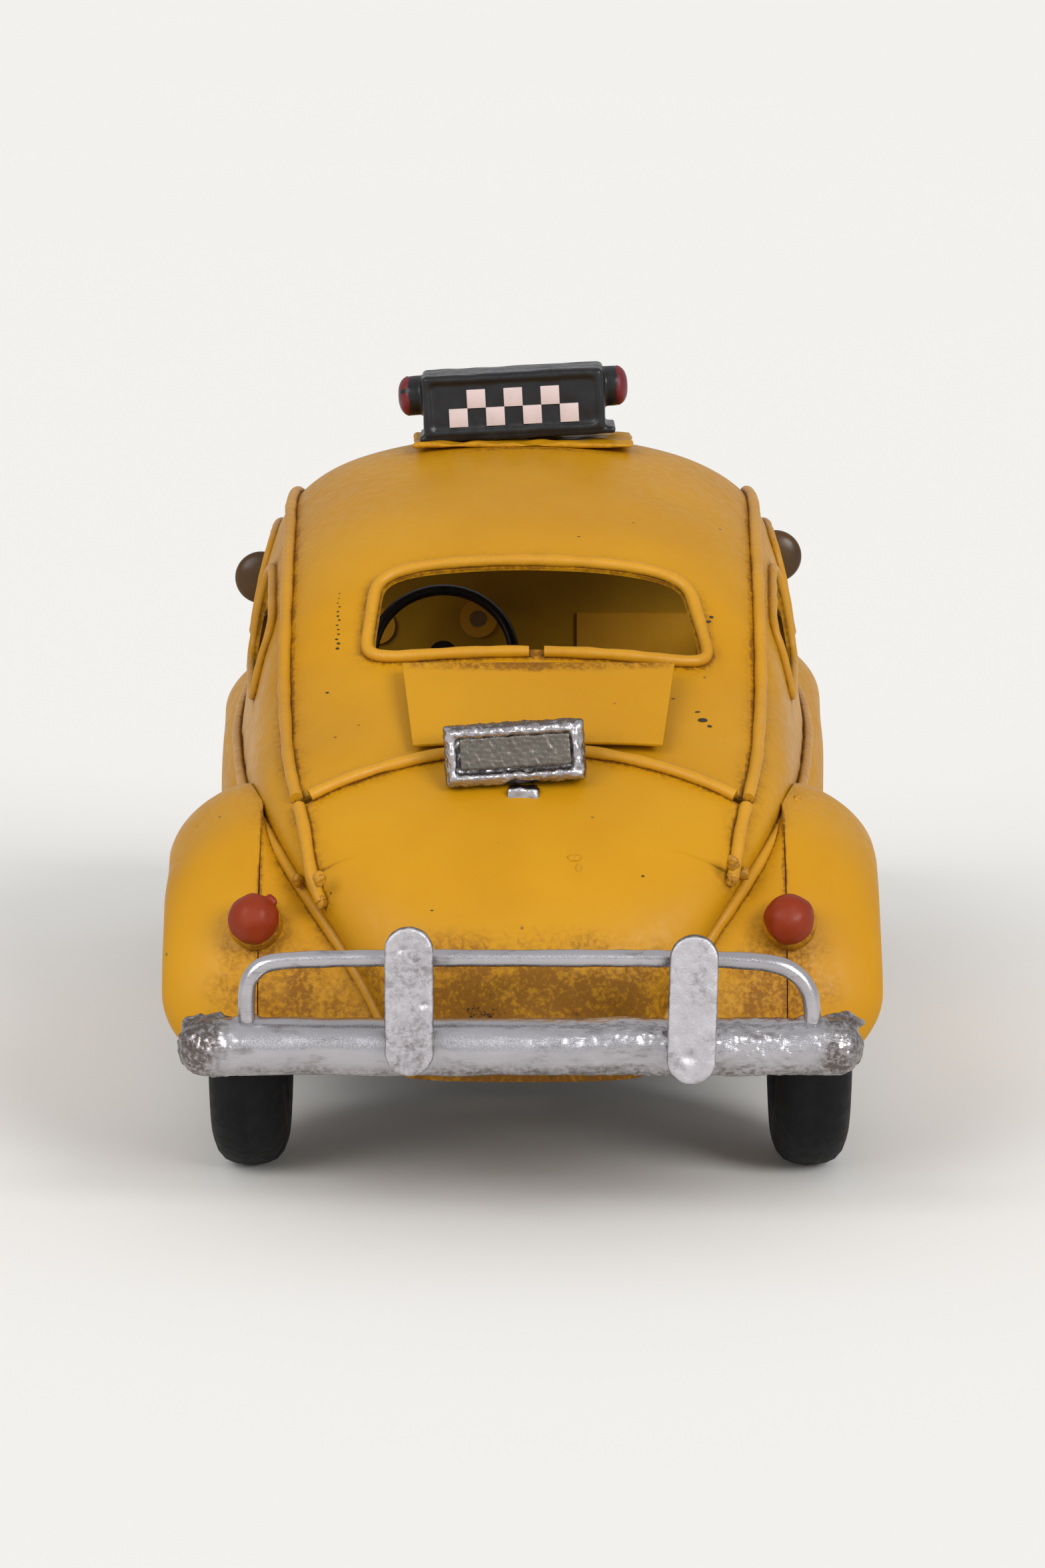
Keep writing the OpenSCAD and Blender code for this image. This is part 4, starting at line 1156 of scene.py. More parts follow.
@dataclass
class Panels:
    """The pressed sheets of the body: roof, sides, engine lid, bonnet, fenders and gussets."""

    shop: Workshop
    beads: Beadwork
    step: float = 0.6
    arch: float = 17.2
    rear_reach: tuple[float, float] = (26.6, 36.4)
    front_reach: tuple[float, float] = (12.0, 35.9)
    front_left_sag: float = 1.6
    rear_fender: Curve = field(default_factory=lambda: Curve(
        [(-12, 28.0), (20, 26.0), (60, 24.4), (90, 24.0), (120, 23.2), (150, 21.8), (181, 21.0)]))
    front_fender: Curve = field(default_factory=lambda: Curve(
        [(-10, 23.2), (30, 24.2), (60, 24.8), (90, 25.2), (120, 26.2), (150, 28.2), (175, 29.6), (190, 30.0)]))

    def cut(self, pane: Pane, u: Array, x: Array) -> tuple[Array, Array, Array]:
        """Opens a pane in a grid.

        Args:
            pane: The opening.
            u: Rib number of each grid point.
            x: Place across of each grid point.

        Returns:
            The open cells, and the grid's places with the edge points moved onto the opening's edge.
        """
        level = pane.level(u, x)
        inside = (level[:-1, :-1] + level[1:, :-1] + level[:-1, 1:] + level[1:, 1:]) / 4 < 1
        padded = np.pad(inside, 1)
        touch = [padded[:-1, :-1], padded[1:, :-1], padded[:-1, 1:], padded[1:, 1:]]
        rim = np.logical_or.reduce(touch) & ~np.logical_and.reduce(touch)
        snap_u, snap_x = pane.snap(u, x)
        return inside, np.where(rim, snap_u, u), np.where(rim, snap_x, x)

    def roof(self) -> None:
        """The roof with the rear panel, open at the rear window and the windscreen."""
        form = self.shop.form
        rows = np.concatenate([form.even(LID_RIB, 6.6, self.step)[:-1], form.even(6.6, 9.2, 0.45)[:-1],
                               form.even(9.2, COWL_RIB, self.step)])
        share = np.linspace(1, -1, 111)
        u = np.repeat(rows[:, None], len(share), 1)
        x = share * (form.seam_x(np.maximum(u, LID_RIB)) - 0.05)
        low = form.lid_edge(form.angle(np.full(len(share), LID_RIB), x[0])) + 0.04
        drop = np.clip((6.9 - u) / (6.9 - LID_RIB), 0, 1)
        u = u + (low - LID_RIB) * drop
        open_cells = np.zeros((u.shape[0] - 1, u.shape[1] - 1), bool)
        for pane in (self.beads.rear_pane, self.beads.screen):
            inside, u, x = self.cut(pane, u, x)
            open_cells |= inside
        edge = form.seam_x(u) - 0.05
        grid = form.skin(u, form.angle(u, np.clip(x, -edge, edge)))
        piece = shell("roof_and_rear_sheet", grid, (0, None, 30), open_cells=open_cells)
        self.shop.finish(piece, "mustard_enamel", Slot.YELLOW, "roof_and_rear_panel")

    def sides(self) -> None:
        """Both side panels, open at the quarter and door windows."""
        form = self.shop.form
        rows = form.even(3.0, COWL_RIB, self.step)
        share = np.linspace(0, 1, 44)
        u = np.repeat(rows[:, None], len(share), 1)
        b = u * 0 + share
        open_cells = np.zeros((u.shape[0] - 1, u.shape[1] - 1), bool)
        for ribs in (self.beads.quarter, self.beads.door):
            inside, u, b = self.cut(Pane(ribs, self.beads.glass, self.beads.glass, 6.0), u, b)
            open_cells |= inside
        upper = form.skin(u, form.wall_angle(u, b))
        foot = form.skin(rows, 0.0)
        drop = np.linspace(0, 1, 26)[:-1]
        z = mix(form.sill(foot[:, 1])[:, None], foot[:, 2:3], drop)
        tuck = foot[:, :1] - 0.0035 * (foot[:, 2:3] - z) ** 2
        lower = np.stack([tuck, np.repeat(foot[:, 1:2], len(drop), 1), z], -1)
        grid = np.concatenate([lower, upper], 1)
        cells = np.concatenate([np.zeros((len(rows) - 1, len(drop)), bool), open_cells], 1)
        for side, label in SIDES:
            piece = shell(f"{label}_side_sheet", grid * (side, 1, 1), (0, None, 30), open_cells=cells)
            self.shop.finish(piece, "mustard_enamel", Slot.YELLOW, f"{label}_side_panel")

    def lid(self) -> None:
        """The engine lid between the lower seams."""
        form = self.shop.form
        t = np.linspace(0, 1, 100)[:, None]
        around = np.linspace(0, 1, 90)[None]
        row = t * 4.31
        for _ in range(3):
            start = form.seam(row)
            row = t * (form.lid_edge(start) - 0.04)
        start = start * np.clip((row - 3.2) / 0.04, 0.01, 1)
        a = mix(start, 180 - start, around)
        grid = form.skin(mix(0.0, form.lid_edge(a) - 0.04, t), a)
        piece = shell("engine_lid_sheet", grid, (0, -60, 15))
        self.shop.finish(piece, "mustard_enamel", Slot.YELLOW, "engine_lid")

    def bonnet(self) -> None:
        """The bonnet with its skirts."""
        form = self.shop.form
        rows = form.even(COWL_RIB + 0.03, NOSE_RIB, self.step)[:, None]
        top = form.skin(rows, np.linspace(1, 179, 90)[None])
        foot = top[:, 0]
        z = mix(form.sill(foot[:, 1])[:, None], foot[:, 2:3], np.linspace(0, 1, 20)[:-1])
        skirt = np.stack([np.repeat(foot[:, :1], z.shape[1], 1), np.repeat(foot[:, 1:2], z.shape[1], 1), z], -1)
        grid = np.concatenate([skirt, top, skirt[:, ::-1] * (-1, 1, 1)], 1)
        piece = shell("bonnet_sheet", grid, (0, 50, 20))
        self.shop.finish(piece, "mustard_enamel", Slot.YELLOW, "bonnet")

    def fender_points(self, radii: Curve, cy: float, inner: float, outer: float | Array, t: Array,
                      s: Array) -> Array:
        """Points of a right-hand fender.

        Args:
            radii: Radius of the fender's crown by angle.
            cy: Place of its axle along the car.
            inner: Least distance of its inner edge from the middle plane.
            outer: Distance of its lip from the middle plane.
            t: Angles round the wheel in degrees.
            s: Shares of the way from the inner edge to the lip.

        Returns:
            Points in millimetres, in the last axis.
        """
        r0 = radii(t)
        bend = 2 / 1.6
        r = self.arch + (r0 - self.arch) * np.clip(np.cos(np.pi / 2 * s), 0, 1) ** bend
        turn = np.radians(t)
        x0 = np.maximum(inner, self.shop.form.side_x(cy + r0 * np.cos(turn)) + 0.12)
        x = mix(x0, outer, np.clip(np.sin(np.pi / 2 * s), 0, 1) ** bend)
        return np.stack(np.broadcast_arrays(x, cy + r * np.cos(turn), AXLE_Z + r * np.sin(turn)), -1)

    def fenders(self) -> None:
        """The four fenders."""
        plans = [("rear", self.rear_fender, REAR_AXLE_Y, *self.rear_reach, 0.0),
                 ("front", self.front_fender, FRONT_AXLE_Y, *self.front_reach, self.front_left_sag)]
        share = 1 - (1 - np.linspace(0, 1, 46)) ** 1.3
        for place, radii, cy, inner, outer, sag in plans:
            t = np.linspace(radii.x[0], radii.x[-1], 130)[:, None]
            lip = outer - 3.0 * (np.maximum(0, t - 160) / 21) ** 2 if place == "rear" else outer
            grid = self.fender_points(radii, cy, inner, lip, t, share[None])
            for side, label in SIDES:
                drop = sag if label == "left" else 0.0
                name = f"{label}_{place}_fender"
                piece = shell(name + "_sheet", grid * (side, 1, 1) - (0, 0, drop), (side * 20, cy, AXLE_Z),
                              waves=0.05, seed=8 + side)
                self.shop.finish(piece, "mustard_enamel", Slot.YELLOW, name)

    def seam_of_gusset(self) -> tuple[Array, Array]:
        """The gusset's edge on the fender and its edge on the tail."""
        k = np.linspace(0, 1, 60)
        t, u = mix(102, 181, k), mix(4.6, 0.1, k**0.9)
        outer = self.fender_points(self.rear_fender, REAR_AXLE_Y, *self.rear_reach, t, np.zeros(60))
        return outer - (0.12, 0, 0), self.shop.form.skin(u, 0.0) + (0.15, -0.15, 0)

    def gussets(self) -> None:
        """The sheets between the rear fenders and the tail."""
        outer, inner = self.seam_of_gusset()
        grid = mix(outer[:, None], inner[:, None], np.linspace(0, 1, 24)[None, :, None])
        for side, label in SIDES:
            piece = shell(f"{label}_gusset_sheet", grid * (side, 1, 1), (side * 20, -40, 20))
            self.shop.finish(piece, "mustard_enamel", Slot.YELLOW, f"{label}_rear_gusset")

    def louvre_plate(self) -> None:
        """The loose plate below the rear window, which stands off the body."""
        top, bottom = np.array([1.4, -45.2, 51.5]), np.array([1.4, -57.4, 45.2])
        down = np.linspace(0, 1, 40)[:, None]
        half = np.linspace(-1, 1, 70)[None]
        left, right = mix(-13.9, -12.6, down), mix(14.4, 12.9, down)
        x = mix(left, right, (half + 1) / 2)
        centre = mix(top, bottom, down[..., None])
        grid = centre + np.stack(np.broadcast_arrays(x, 0 * x, 0 * x), -1)
        out = unit(np.array([0, -(top - bottom)[2], (top - bottom)[1]]))
        grid = grid + out * (0.2 - 0.35 * half[..., None] ** 4 * down[..., None])
        piece = shell("louvre_sheet", grid, (0, -40, 40), waves=0.02)
        bevel(piece, 0.1, 2, 1.0)
        self.shop.finish(piece, "mustard_enamel", Slot.YELLOW, "louvre_plate", angle=30)

    def build(self) -> None:
        """Presses and paints every panel."""
        self.roof()
        self.sides()
        self.lid()
        self.bonnet()
        self.fenders()
        self.gussets()
        self.louvre_plate()


@dataclass
class Marks:
    """Small scabs of dried dark paint and one blister, where the coat was knocked or dripped."""

    shop: Workshop

    def scab(self, u: float, x: float, size: Sequence[float], seed: int) -> bpy.types.Object:
        """A thin drop that lies on the body.

        Args:
            u: Its rib number.
            x: Its distance from the middle plane, negative on the left.
            size: Its half sizes across, up from the sheet, and along.
            seed: Seed of its lumps.

        Returns:
            A mesh object.
        """
        form = self.shop.form
        a = form.angle(np.array(u), np.array(x))
        normal = Vector(form.normal(u, a))
        drop = dab((0, 0, 0), size, seed, 0.22)
        turn = normal.to_track_quat("Y", "Z").to_matrix().to_4x4()
        drop.data.transform(Matrix.Translation(Vector(form.skin(u, a)) * MM) @ turn)
        return drop

    def build(self) -> None:
        """Places the marks."""
        spots = [(5.75, 18.6, 0.55), (5.9, 18.1, 0.3), (5.65, 19.3, 0.26), (6.1, 15.6, 0.22), (8.1, 19.6, 0.3),
                 (8.25, 19.9, 0.24), (4.55, -5.6, 0.34), (4.5, -6.0, 0.2), (3.1, 12.0, 0.16), (2.6, -9.0, 0.15),
                 (12.5, 9.0, 0.2), (14.0, -12.0, 0.16), (6.4, -20.3, 0.2), (9.6, 6.0, 0.16)]
        spots += [(7.4 + 0.12 * i, -19.4 + 0.12 * math.sin(2.3 * i), 0.2 - 0.008 * i) for i in range(13)]
        scabs = [self.scab(u, x, (size, 0.05, size * (0.5 + 0.25 * math.sin(7 * u))), 200 + i)
                 for i, (u, x, size) in enumerate(spots)]
        self.shop.finish(merge(scabs, "paint_scabs"), "dried_paint", Slot.BLACK, washed=False)
        drops = [self.scab(3.35, 5.2, (0.7, 0.16, 0.42), 240), self.scab(3.2, 5.6, (0.3, 0.12, 0.5), 241)]
        blister = merge(drops, "paint_blister")
        self.shop.finish(blister, "mustard_enamel", Slot.YELLOW, angle=180)


@dataclass
class RearTrim:
    """Rear bumper with its rail and overriders, tail lamps and licence lamp."""

    shop: Workshop
    tube_y: float = -86.2
    tube_z: float = 20.0
    tube_r: float = 2.9
    half_w: float = 33.6
    front_tube: tuple[float, float, float] = (0.0, 88.1, 18.0)
    tail_lamp: tuple[float, float, float] = (26.8, -69.6, 29.0)
    tail_pitch: float = -18.0
    licence_at: tuple[float, float, float] = (-0.8, -61.9, 45.0)
    licence_tilt: tuple[float, float, float] = (-6, -3.5, 0)

    def lumps(self, points: Array) -> Array:
        """Unevenness of the bumper: hammered on the right, gently wavy on the left."""
        hammered = Ripple(1.5, 21, 30)(points) + 0.9 * Ripple(0.9, 22, 30)(points)
        right = np.clip((points[:, 0] + 4) / 16, 0.06, 1) + np.clip((-26 - points[:, 0]) / 3, 0, 1.6)
        return -0.06 + 0.028 * hammered * right + 0.06 * Ripple(9, 23)(points)

    def bumper(self) -> None:
        """The tube with its rounded ends."""
        r, h = self.tube_r, self.half_w
        arc = np.linspace(0, math.pi / 2, 9)
        profile = [(r * math.sin(t), -h + r - r * math.cos(t)) for t in arc]
        profile += [(r, x) for x in np.linspace(-h + r + 1, h - r - 1, 60)]
        profile += [(r * math.cos(t), h - r + r * math.sin(t)) for t in arc]
        for label, x, y, z in (("rear", -0.2, self.tube_y, self.tube_z), ("front", *self.front_tube)):
            piece = spun(f"{label}_bumper_tube_painted", profile, (x, y, z), (1, 0, 0), 48)
            drops = [piece]
            if label == "rear":
                drops += [dab((s * 30.6, y + 1.6, z + 1.9), (3.0, 1.6, 1.1), 60 + s, 0.2) for s in (-1, 1)]
                drops += [dab((x0, y + 0.4, z + 2.75), (1.25, 1.1, 0.45), 63, 0.2) for x0 in (-26.9, 28.2)]
            piece = merge(drops, piece.name)
            recast(piece, 0.24, self.lumps, 2)
            x = points_of(piece)[:, 0]
            write_attribute(piece, "hammer", np.clip((x + 6) / 18, 0, 1))
            ends = np.clip((np.abs(x) - 27.5) / 5, 0, 0.6)
            # Painted shade on the tube's underside and back; the ends also carry dark smears.
            underside_and_back_shade = np.maximum(turned_away(piece, (0, 0, 1), -0.25, 0.9),
                              turned_away(piece, (0, math.copysign(1, y), 0), 0.2, 1.4))
            self.shop.finish(piece, "silver_smooth", Slot.SILVER, f"{label}_bumper_tube", angle=180,
                             own_shade_and_wash=np.maximum(underside_and_back_shade * 0.8, ends))

    def rail(self) -> None:
        """The bent wire rail over the tube."""
        y, z = self.tube_y - 0.4, self.tube_z
        left = [(-26.9, z + 2.4), (-26.9, z + 5.2), (-26.6, z + 6.8), (-25.6, z + 8.0), (-24.2, z + 8.5),
                (-21, z + 8.75), (-14, z + 8.9)]
        right = [(14, z + 8.85), (22, z + 8.6), (25.2, z + 8.1), (26.9, z + 7.1), (27.9, z + 5.6),
                 (28.2, z + 4.2), (28.3, z + 2.4)]
        path = np.array([(x, y, h) for x, h in left + [(0, z + 8.9)] + right])
        run = np.concatenate([[0], np.cumsum(np.linalg.norm(np.diff(path, axis=0), axis=1))])
        smooth = [Curve(np.column_stack([run, column])) for column in path.T]
        at = np.linspace(0, run[-1], 220)
        piece = tube("rear_rail", np.column_stack([c(at) for c in smooth]), 0.85, 0.03, 5)
        # Painted shade on the rail's underside.
        self.shop.finish(piece, "silver_smooth", Slot.SILVER, "rear_bumper_rail", angle=70,
                         own_shade_and_wash=turned_away(piece, (0, -0.5, 0.86), -0.1, 1.3))

    def overriders(self) -> None:
        """The two flat upright guards with rounded ends."""
        pieces = []
        for i, (x, z, lean) in enumerate(((-11.0, 25.4, 0.0), (16.5, 24.6, 1.5))):
            obj = primitive(bpy.ops.mesh.primitive_circle_add, "guard", vertices=48, radius=2.4 * MM,
                            fill_type="NGON", rotation=(math.pi / 2, 0, 0))
            points = points_of(obj)
            points[:, 2] += np.sign(points[:, 2]) * 5.0 * (np.abs(points[:, 2]) > 1e-6)
            set_points(obj, points)
            pick_faces(obj, lambda face: True)
            with editing(obj):
                bpy.ops.mesh.extrude_region_move(TRANSFORM_OT_translate={"value": (0, 1.2 * MM, 0)})
                bpy.ops.mesh.select_all(action="SELECT")
                bpy.ops.mesh.normals_make_consistent(inside=False)
            bevel(obj, 0.3, 3, 0.8)
            turned(obj, (x, -91, z), (0, lean, 0))
            rough = Ripple(1.5, 31 + i, 24)
            pits = [(x - 0.6, z + 5.2, 0.5), (x + 1.5, z - 0.2, 0.5)] if i == 0 else [(x - 0.3, z - 4.7, 0.9)]

            def height(p: Array, rough: Ripple = rough, pits: list = pits) -> Array:
                """Rough cast skin with a pit or two."""
                dents = sum(0.28 * np.exp(-((p[:, 0] - a) ** 2 + (p[:, 2] - b) ** 2) / (r * r) * 2.5)
                            for a, b, r in pits)
                return -0.02 + 0.016 * rough(p) - dents * (p[:, 1] < -90.2)
            pieces.append(recast(obj, 0.17, height, 1))
        whole = merge(pieces, "overriders_cast")
        # Painted shade on the guards' edges and sides turned away from the rear; the left guard is also darker
        # all over.
        side = np.where(points_of(whole)[:, 0] < 0, 0.24, 0.08)
        self.shop.finish(whole, "silver_matte", Slot.SILVER, "rear_overriders", angle=180,
                         own_shade_and_wash=np.maximum(turned_away(whole, (0, -1, 0), 0.72, 1.6), side))

    def tail_lamps(self) -> None:
        """Red domes on yellow bases."""
        pitch = math.radians(self.tail_pitch)
        axis = Vector((0, -math.cos(pitch), math.sin(-pitch))).normalized()
        domes, bases = [], []
        for side in (-1, 1):
            centre = Vector((side * self.tail_lamp[0], *self.tail_lamp[1:]))
            profile = [(2.75, -1.9), (2.72, 0.2), (2.62, 1.0), (2.45, 1.35), (1.5, 1.5), (0.0, 1.5)]
            bases.append(spun("base", [(0.0, -1.9), *profile], centre, axis, 56))
            cap = [(0.0, 1.2), (2.45, 1.2)]
            cap += [(2.58 * math.cos(t), 1.45 + 2.15 * math.sin(t)) for t in np.linspace(0, math.pi / 2, 14)]
            dome = spun("dome", cap, centre + Vector((-0.12, 0, 0.2)), axis, 64)
            if side < 0:
                drop = dab(centre + axis * 1.1 + Vector((1.6, 0.15, 2.15)), (0.72, 0.5, 0.62), 71, 0.1)
                dome = merge([dome, drop], "dome")
            wobble = Ripple(2.6, 70 + side)
            domes.append(recast(dome, 0.13, lambda p, w=wobble: 0.05 * w(p) - 0.03, 3))
        self.shop.finish(merge(bases, "tail_lamp_bases_soldered"), "mustard_enamel", Slot.YELLOW,
                         "tail_lamp_bases")
        self.shop.finish(merge(domes, "tail_lamp_domes_painted"), "lamp_red", Slot.LAMP_RED,
                         "tail_lamp_domes", angle=180)

    def licence_lamp(self) -> None:
        """The lamp over the licence plate: a lumpy rim round a sunken granular face."""
        box = block("licence_lamp_cast", (14.2, 2.6, 6.2))
        press_face(box, lambda face: face.normal.y < -0.9,
                   [(0.55, (0, -0.75, 0)), (0.55, (0, -0.05, 0)), (0.35, (0, 0.75, 0))])
        bevel(box, 0.32, 3, 0.5)
        turned(box, self.licence_at, self.licence_tilt)
        coarse, fine = Ripple(1.6, 81, 24), Ripple(0.7, 82, 30)
        recast(box, 0.12, lambda p: 0.05 * coarse(p) + 0.022 * fine(p) - 0.03, 2)
        tab = block("licence_lamp_foot", (3.2, 2.2, 2.0), (0.1, -63.1, 40.7))
        press_face(tab, lambda face: face.normal.z < -0.9, [(0.5, (0, 0.1, -0.25))])
        bevel(tab, 0.3, 3, 0.5)
        recast(tab, 0.12, lambda p: 0.05 * coarse(p), 2)
        face = block("licence_lamp_plate", (11.2, 0.5, 3.3), (0.1, -1.5, 0.2))
        bevel(face, 0.2, 3)
        turned(face, self.licence_at, self.licence_tilt)
        recast(face, 0.12, lambda p: 0.02 * fine(p), 1)
        # Painted shade: the housing and the tab are darker on their sides turned away from the rear, and the
        # housing a little all over; the plate darkens towards its lower edge as painted shadow.
        self.shop.finish(box, "silver_lumpy", Slot.SILVER, "licence_lamp_housing", angle=180,
                         own_shade_and_wash=np.maximum(0.9 * turned_away(box, (0, -1, 0), 0.8, 2.2), 0.22))
        self.shop.finish(tab, "silver_lumpy", Slot.SILVER, "licence_lamp_tab", angle=180,
                         own_shade_and_wash=0.8 * turned_away(tab, (0, -1, 0), 0.75, 2.0))
        self.shop.finish(face, "grey_granular", Slot.SILVER, angle=180,
                         own_shade_and_wash=0.8 * np.clip((43.4 - points_of(face)[:, 2]) / 0.8, 0, 1))

    def build(self) -> None:
        """Makes the trim of the rear."""
        self.bumper()
        self.rail()
        self.overriders()
        self.tail_lamps()
        self.licence_lamp()


@dataclass
class RoofSign:
    """The tilted box on the roof, with its end lamps and a painted chequer strip."""

    shop: Workshop
    origin: tuple[float, float, float] = (-0.8, 4.0, 69.6)
    tilt: float = -3.0
    size: tuple[float, float, float] = (20.6, 8.4, 7.0)

    def put(self, obj: bpy.types.Object) -> bpy.types.Object:
        """Moves a mesh built on the sign's own foot to the tilted sign."""
        return turned(obj, self.origin, (0, self.tilt, 0))

    def build(self) -> None:
        """Makes the housing, the red lamp ends, the chequers and the base."""
        w, d, h = self.size
        box = block("sign_housing", (w - 0.4, d - 0.3, h), (0, 0, 0.5 + h / 2))
        press_face(box, lambda face: abs(face.normal.y) > 0.9, [(0.75, (0, 0, 0))])
        pick_faces(box, lambda face: abs(face.normal.y) > 0.9 and face.area > 60 * MM * MM)
        with editing(box):
            bpy.ops.mesh.inset(thickness=0.3 * MM, depth=-0.3 * MM, use_individual=True)
        bevel(box, 0.55, 3, 0.9)
        end_z = h + 0.3 - 2.25
        arc = [(2.2 * math.cos(t) ** 0.8, 1.1 + 1.35 * math.sin(t)) for t in np.linspace(0, math.pi / 2, 10)]
        ears, caps = [], []
        for side in (-1, 1):
            at = (side * (w / 2 - 0.9), 0, end_z)
            round_end = [(0, -1.2), (2.2, -1.2), *[(r, x + 0.9) for r, x in arc]]
            ears.append(spun("ear", round_end, at, (side, 0, 0), 48))
            shield = [(r + 0.05, x + 0.93) for r, x in arc if x > 1.25]
            caps.append(spun("cap", [(0, 1.6), (shield[0][0] - 0.3, 1.6), *shield], at, (side, 0, 0), 48))
        foot = block("flare", (w + 1.2, d - 0.6, 0.8), (0.3, 0, 0.5))
        bevel(foot, 0.3, 3)
        housing = merge([box, *ears, foot], "sign_housing")
        lumps = Ripple(4.0, 91)
        recast(housing, 0.17, lambda p: 0.035 * lumps(p), 3)
        self.put(housing)
        self.shop.finish(housing, "satin_black", Slot.BLACK, "sign_box", "sign_end_lamps", angle=180,
                         washed=False)
        red = self.put(merge(caps, "sign_lamp_ends"))
        self.shop.finish(red, "crimson_enamel", Slot.CRIMSON, "sign_lamp_caps", angle=60, washed=False)
        self.chequers()
        base = block("sign_base_plate", (24.4, 11.0, 0.6), (0.1, 4.0, 69.12))
        bevel(base, 0.28, 4)
        edge = Ripple(3.2, 93)
        recast(base, 0.2, lambda p: 0.10 * edge(p) - 0.05, 1)
        self.shop.finish(base, "mustard_enamel", Slot.YELLOW, "sign_base", angle=180)

    def chequers(self) -> None:
        """Two rows of raised pale squares on the rear and front faces."""
        cell, columns, rows = 2.05, 7, 2
        tiles = []
        for face in (-1, 1):
            for i in range(columns):
                for j in range(rows):
                    if (i + j) % 2:
                        continue
                    x, z = (i - (columns - 1) / 2) * cell, 3.75 + (j - (rows - 1) / 2) * cell
                    tile = block("tile", (cell + 0.02, 0.14, cell + 0.02), (x, face * 3.88, z))
                    bevel(tile, 0.05, 2)
                    tiles.append(tile)
        strip = self.put(merge(tiles, "sign_chequers"))
        self.shop.finish(strip, "chalk_paint", Slot.CREAM, angle=40, washed=False)


@dataclass
class Fittings:
    """Mirrors, headlamps and tyres."""

    shop: Workshop
    mirror_r: float = 3.05
    mirror_y: float = 30.0
    headlamp: tuple[float, float, float] = (29.6, 74.5, 30.5)
    headlamp_tilt: float = 8.0

    def mirrors(self) -> None:
        """Round mirrors on bent arms."""
        radius, cy = self.mirror_r, self.mirror_y
        for side, label in reversed(SIDES):
            lo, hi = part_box(f"{label}_mirror")
            cx = (lo.x / MM + radius) if side < 0 else (hi.x / MM - radius)
            cz = hi.z / MM - radius
            back = [(radius * math.cos(t), -1.15 * math.sin(t)) for t in np.linspace(math.pi / 2, 0, 12)]
            rim = [(radius, 0.25), (radius - 0.25, 0.45), (radius - 0.55, 0.42), (0.0, 0.35)]
            head = spun("head", back + rim, (cx, cy, cz), (0, 1, 0), 56)
            path = np.array([(cx, cy + 0.2, cz - 1.6), (cx - side * 0.1, cy + 1.9, cz - 5.2)])
            arm = tube("arm", even_path(path, 0.5), 0.6, 0.03, 4)
            piece = merge([head, arm], f"{label}_mirror_round")
            self.shop.finish(piece, "mirror_olive", Slot.MIRROR, f"{label}_mirror", washed=False)

    def headlamps(self) -> None:
        """Rims with domed lenses on the front fenders."""
        rims, lenses = [], []
        tilt = math.radians(self.headlamp_tilt)
        axis = (0, math.cos(tilt), math.sin(tilt))
        for side in (-1, 1):
            centre = (side * self.headlamp[0], *self.headlamp[1:])
            rims.append(spun("rim", [(0, -3.5), (4.2, -3.5), (4.2, 2.9), (4.0, 3.4), (3.7, 3.5), (3.45, 3.2),
                                     (3.45, 1.0), (0, 1.0)], centre, axis, 64))
            dome = [(3.5 * math.cos(t), 1.9 + 1.2 * math.sin(t)) for t in np.linspace(0, math.pi / 2, 10)]
            lenses.append(spun("lens", [(0, 1.2), (3.5, 1.2), *dome], centre, axis, 64))
        self.shop.finish(merge(rims, "headlamp_rims_turned"), "silver_smooth", Slot.SILVER, "headlamp_rims")
        self.shop.finish(merge(lenses, "headlamp_lenses_domed"), "cream_enamel", Slot.CREAM, "headlamp_lenses",
                         washed=False)

    def tyres(self) -> None:
        """Solid rubber tyres with rounded shoulders, side ribs and a shallow middle groove."""
        for place, y in (("rear", REAR_AXLE_Y), ("front", FRONT_AXLE_Y)):
            for label in ("left", "right"):
                name = f"{label}_{place}_tyre"
                lo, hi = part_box(name)
                x, half = (lo.x + hi.x) / 2 / MM, (hi.x - lo.x) / 2 / MM
                side = [(9.6, 0.80), (10.4, 0.93), (11.6, 0.99), (12.2, 0.975), (12.5, 1.0), (13.1, 0.96),
                        (14.1, 0.86), (14.9, 0.68), (15.3, 0.45), (15.5, 0.16), (15.42, 0.04)]
                profile = [(r, half * t) for r, t in side] + [(r, -half * t) for r, t in reversed(side)]
                profile.append(profile[0])
                piece = spun(name + "_moulded", profile, (x, y, AXLE_Z), (1, 0, 0), 96)
                self.shop.finish(piece, "rubber", Slot.TYRE, name, body=f"{place}_axle_set", washed=False)

    def build(self) -> None:
        """Makes the fittings."""
        self.mirrors()
        self.headlamps()
        self.tyres()


class CarriedOver:
    """CAD nodes that keep their own shape and get a finish."""

    finish_of = {
        "floor_pan": "grey_tin", "left_running_board": "silver_smooth", "right_running_board": "silver_smooth",
        "rear_bumper_brackets": "mustard_enamel", "front_bumper_brackets": "silver_smooth",
        "dash_panel": "shaded_dash_enamel", "dash_gauges": "bead_enamel", "steering_column": "steel",
        "steering_wheel": "satin_black", "drive_frame": "grey_tin", "rear_axle_brackets": "grey_tin",
        "front_axle_brackets": "grey_tin", "rear_axle": "steel", "front_axle": "steel", "drive_gear": "brass",
        "layshaft": "brass", "flywheel": "cast_iron", "left_rear_wheel": "mustard_enamel",
        "right_rear_wheel": "mustard_enamel", "left_front_wheel": "mustard_enamel",
        "right_front_wheel": "mustard_enamel",
    }

    def __init__(self, shop: Workshop, nodes: dict[str, bpy.types.Object]) -> None:
        """Keeps the workshop and the frame's nodes."""
        self.shop, self.nodes = shop, nodes

    def dress(self) -> None:
        """Gives each node its finish."""
        for name, finish in self.finish_of.items():
            node = self.nodes[name]
            node.data.materials.clear()
            node.data.materials.append(self.shop.finishes[finish])
            log.info("%s keeps its shape, %s", name, finish)


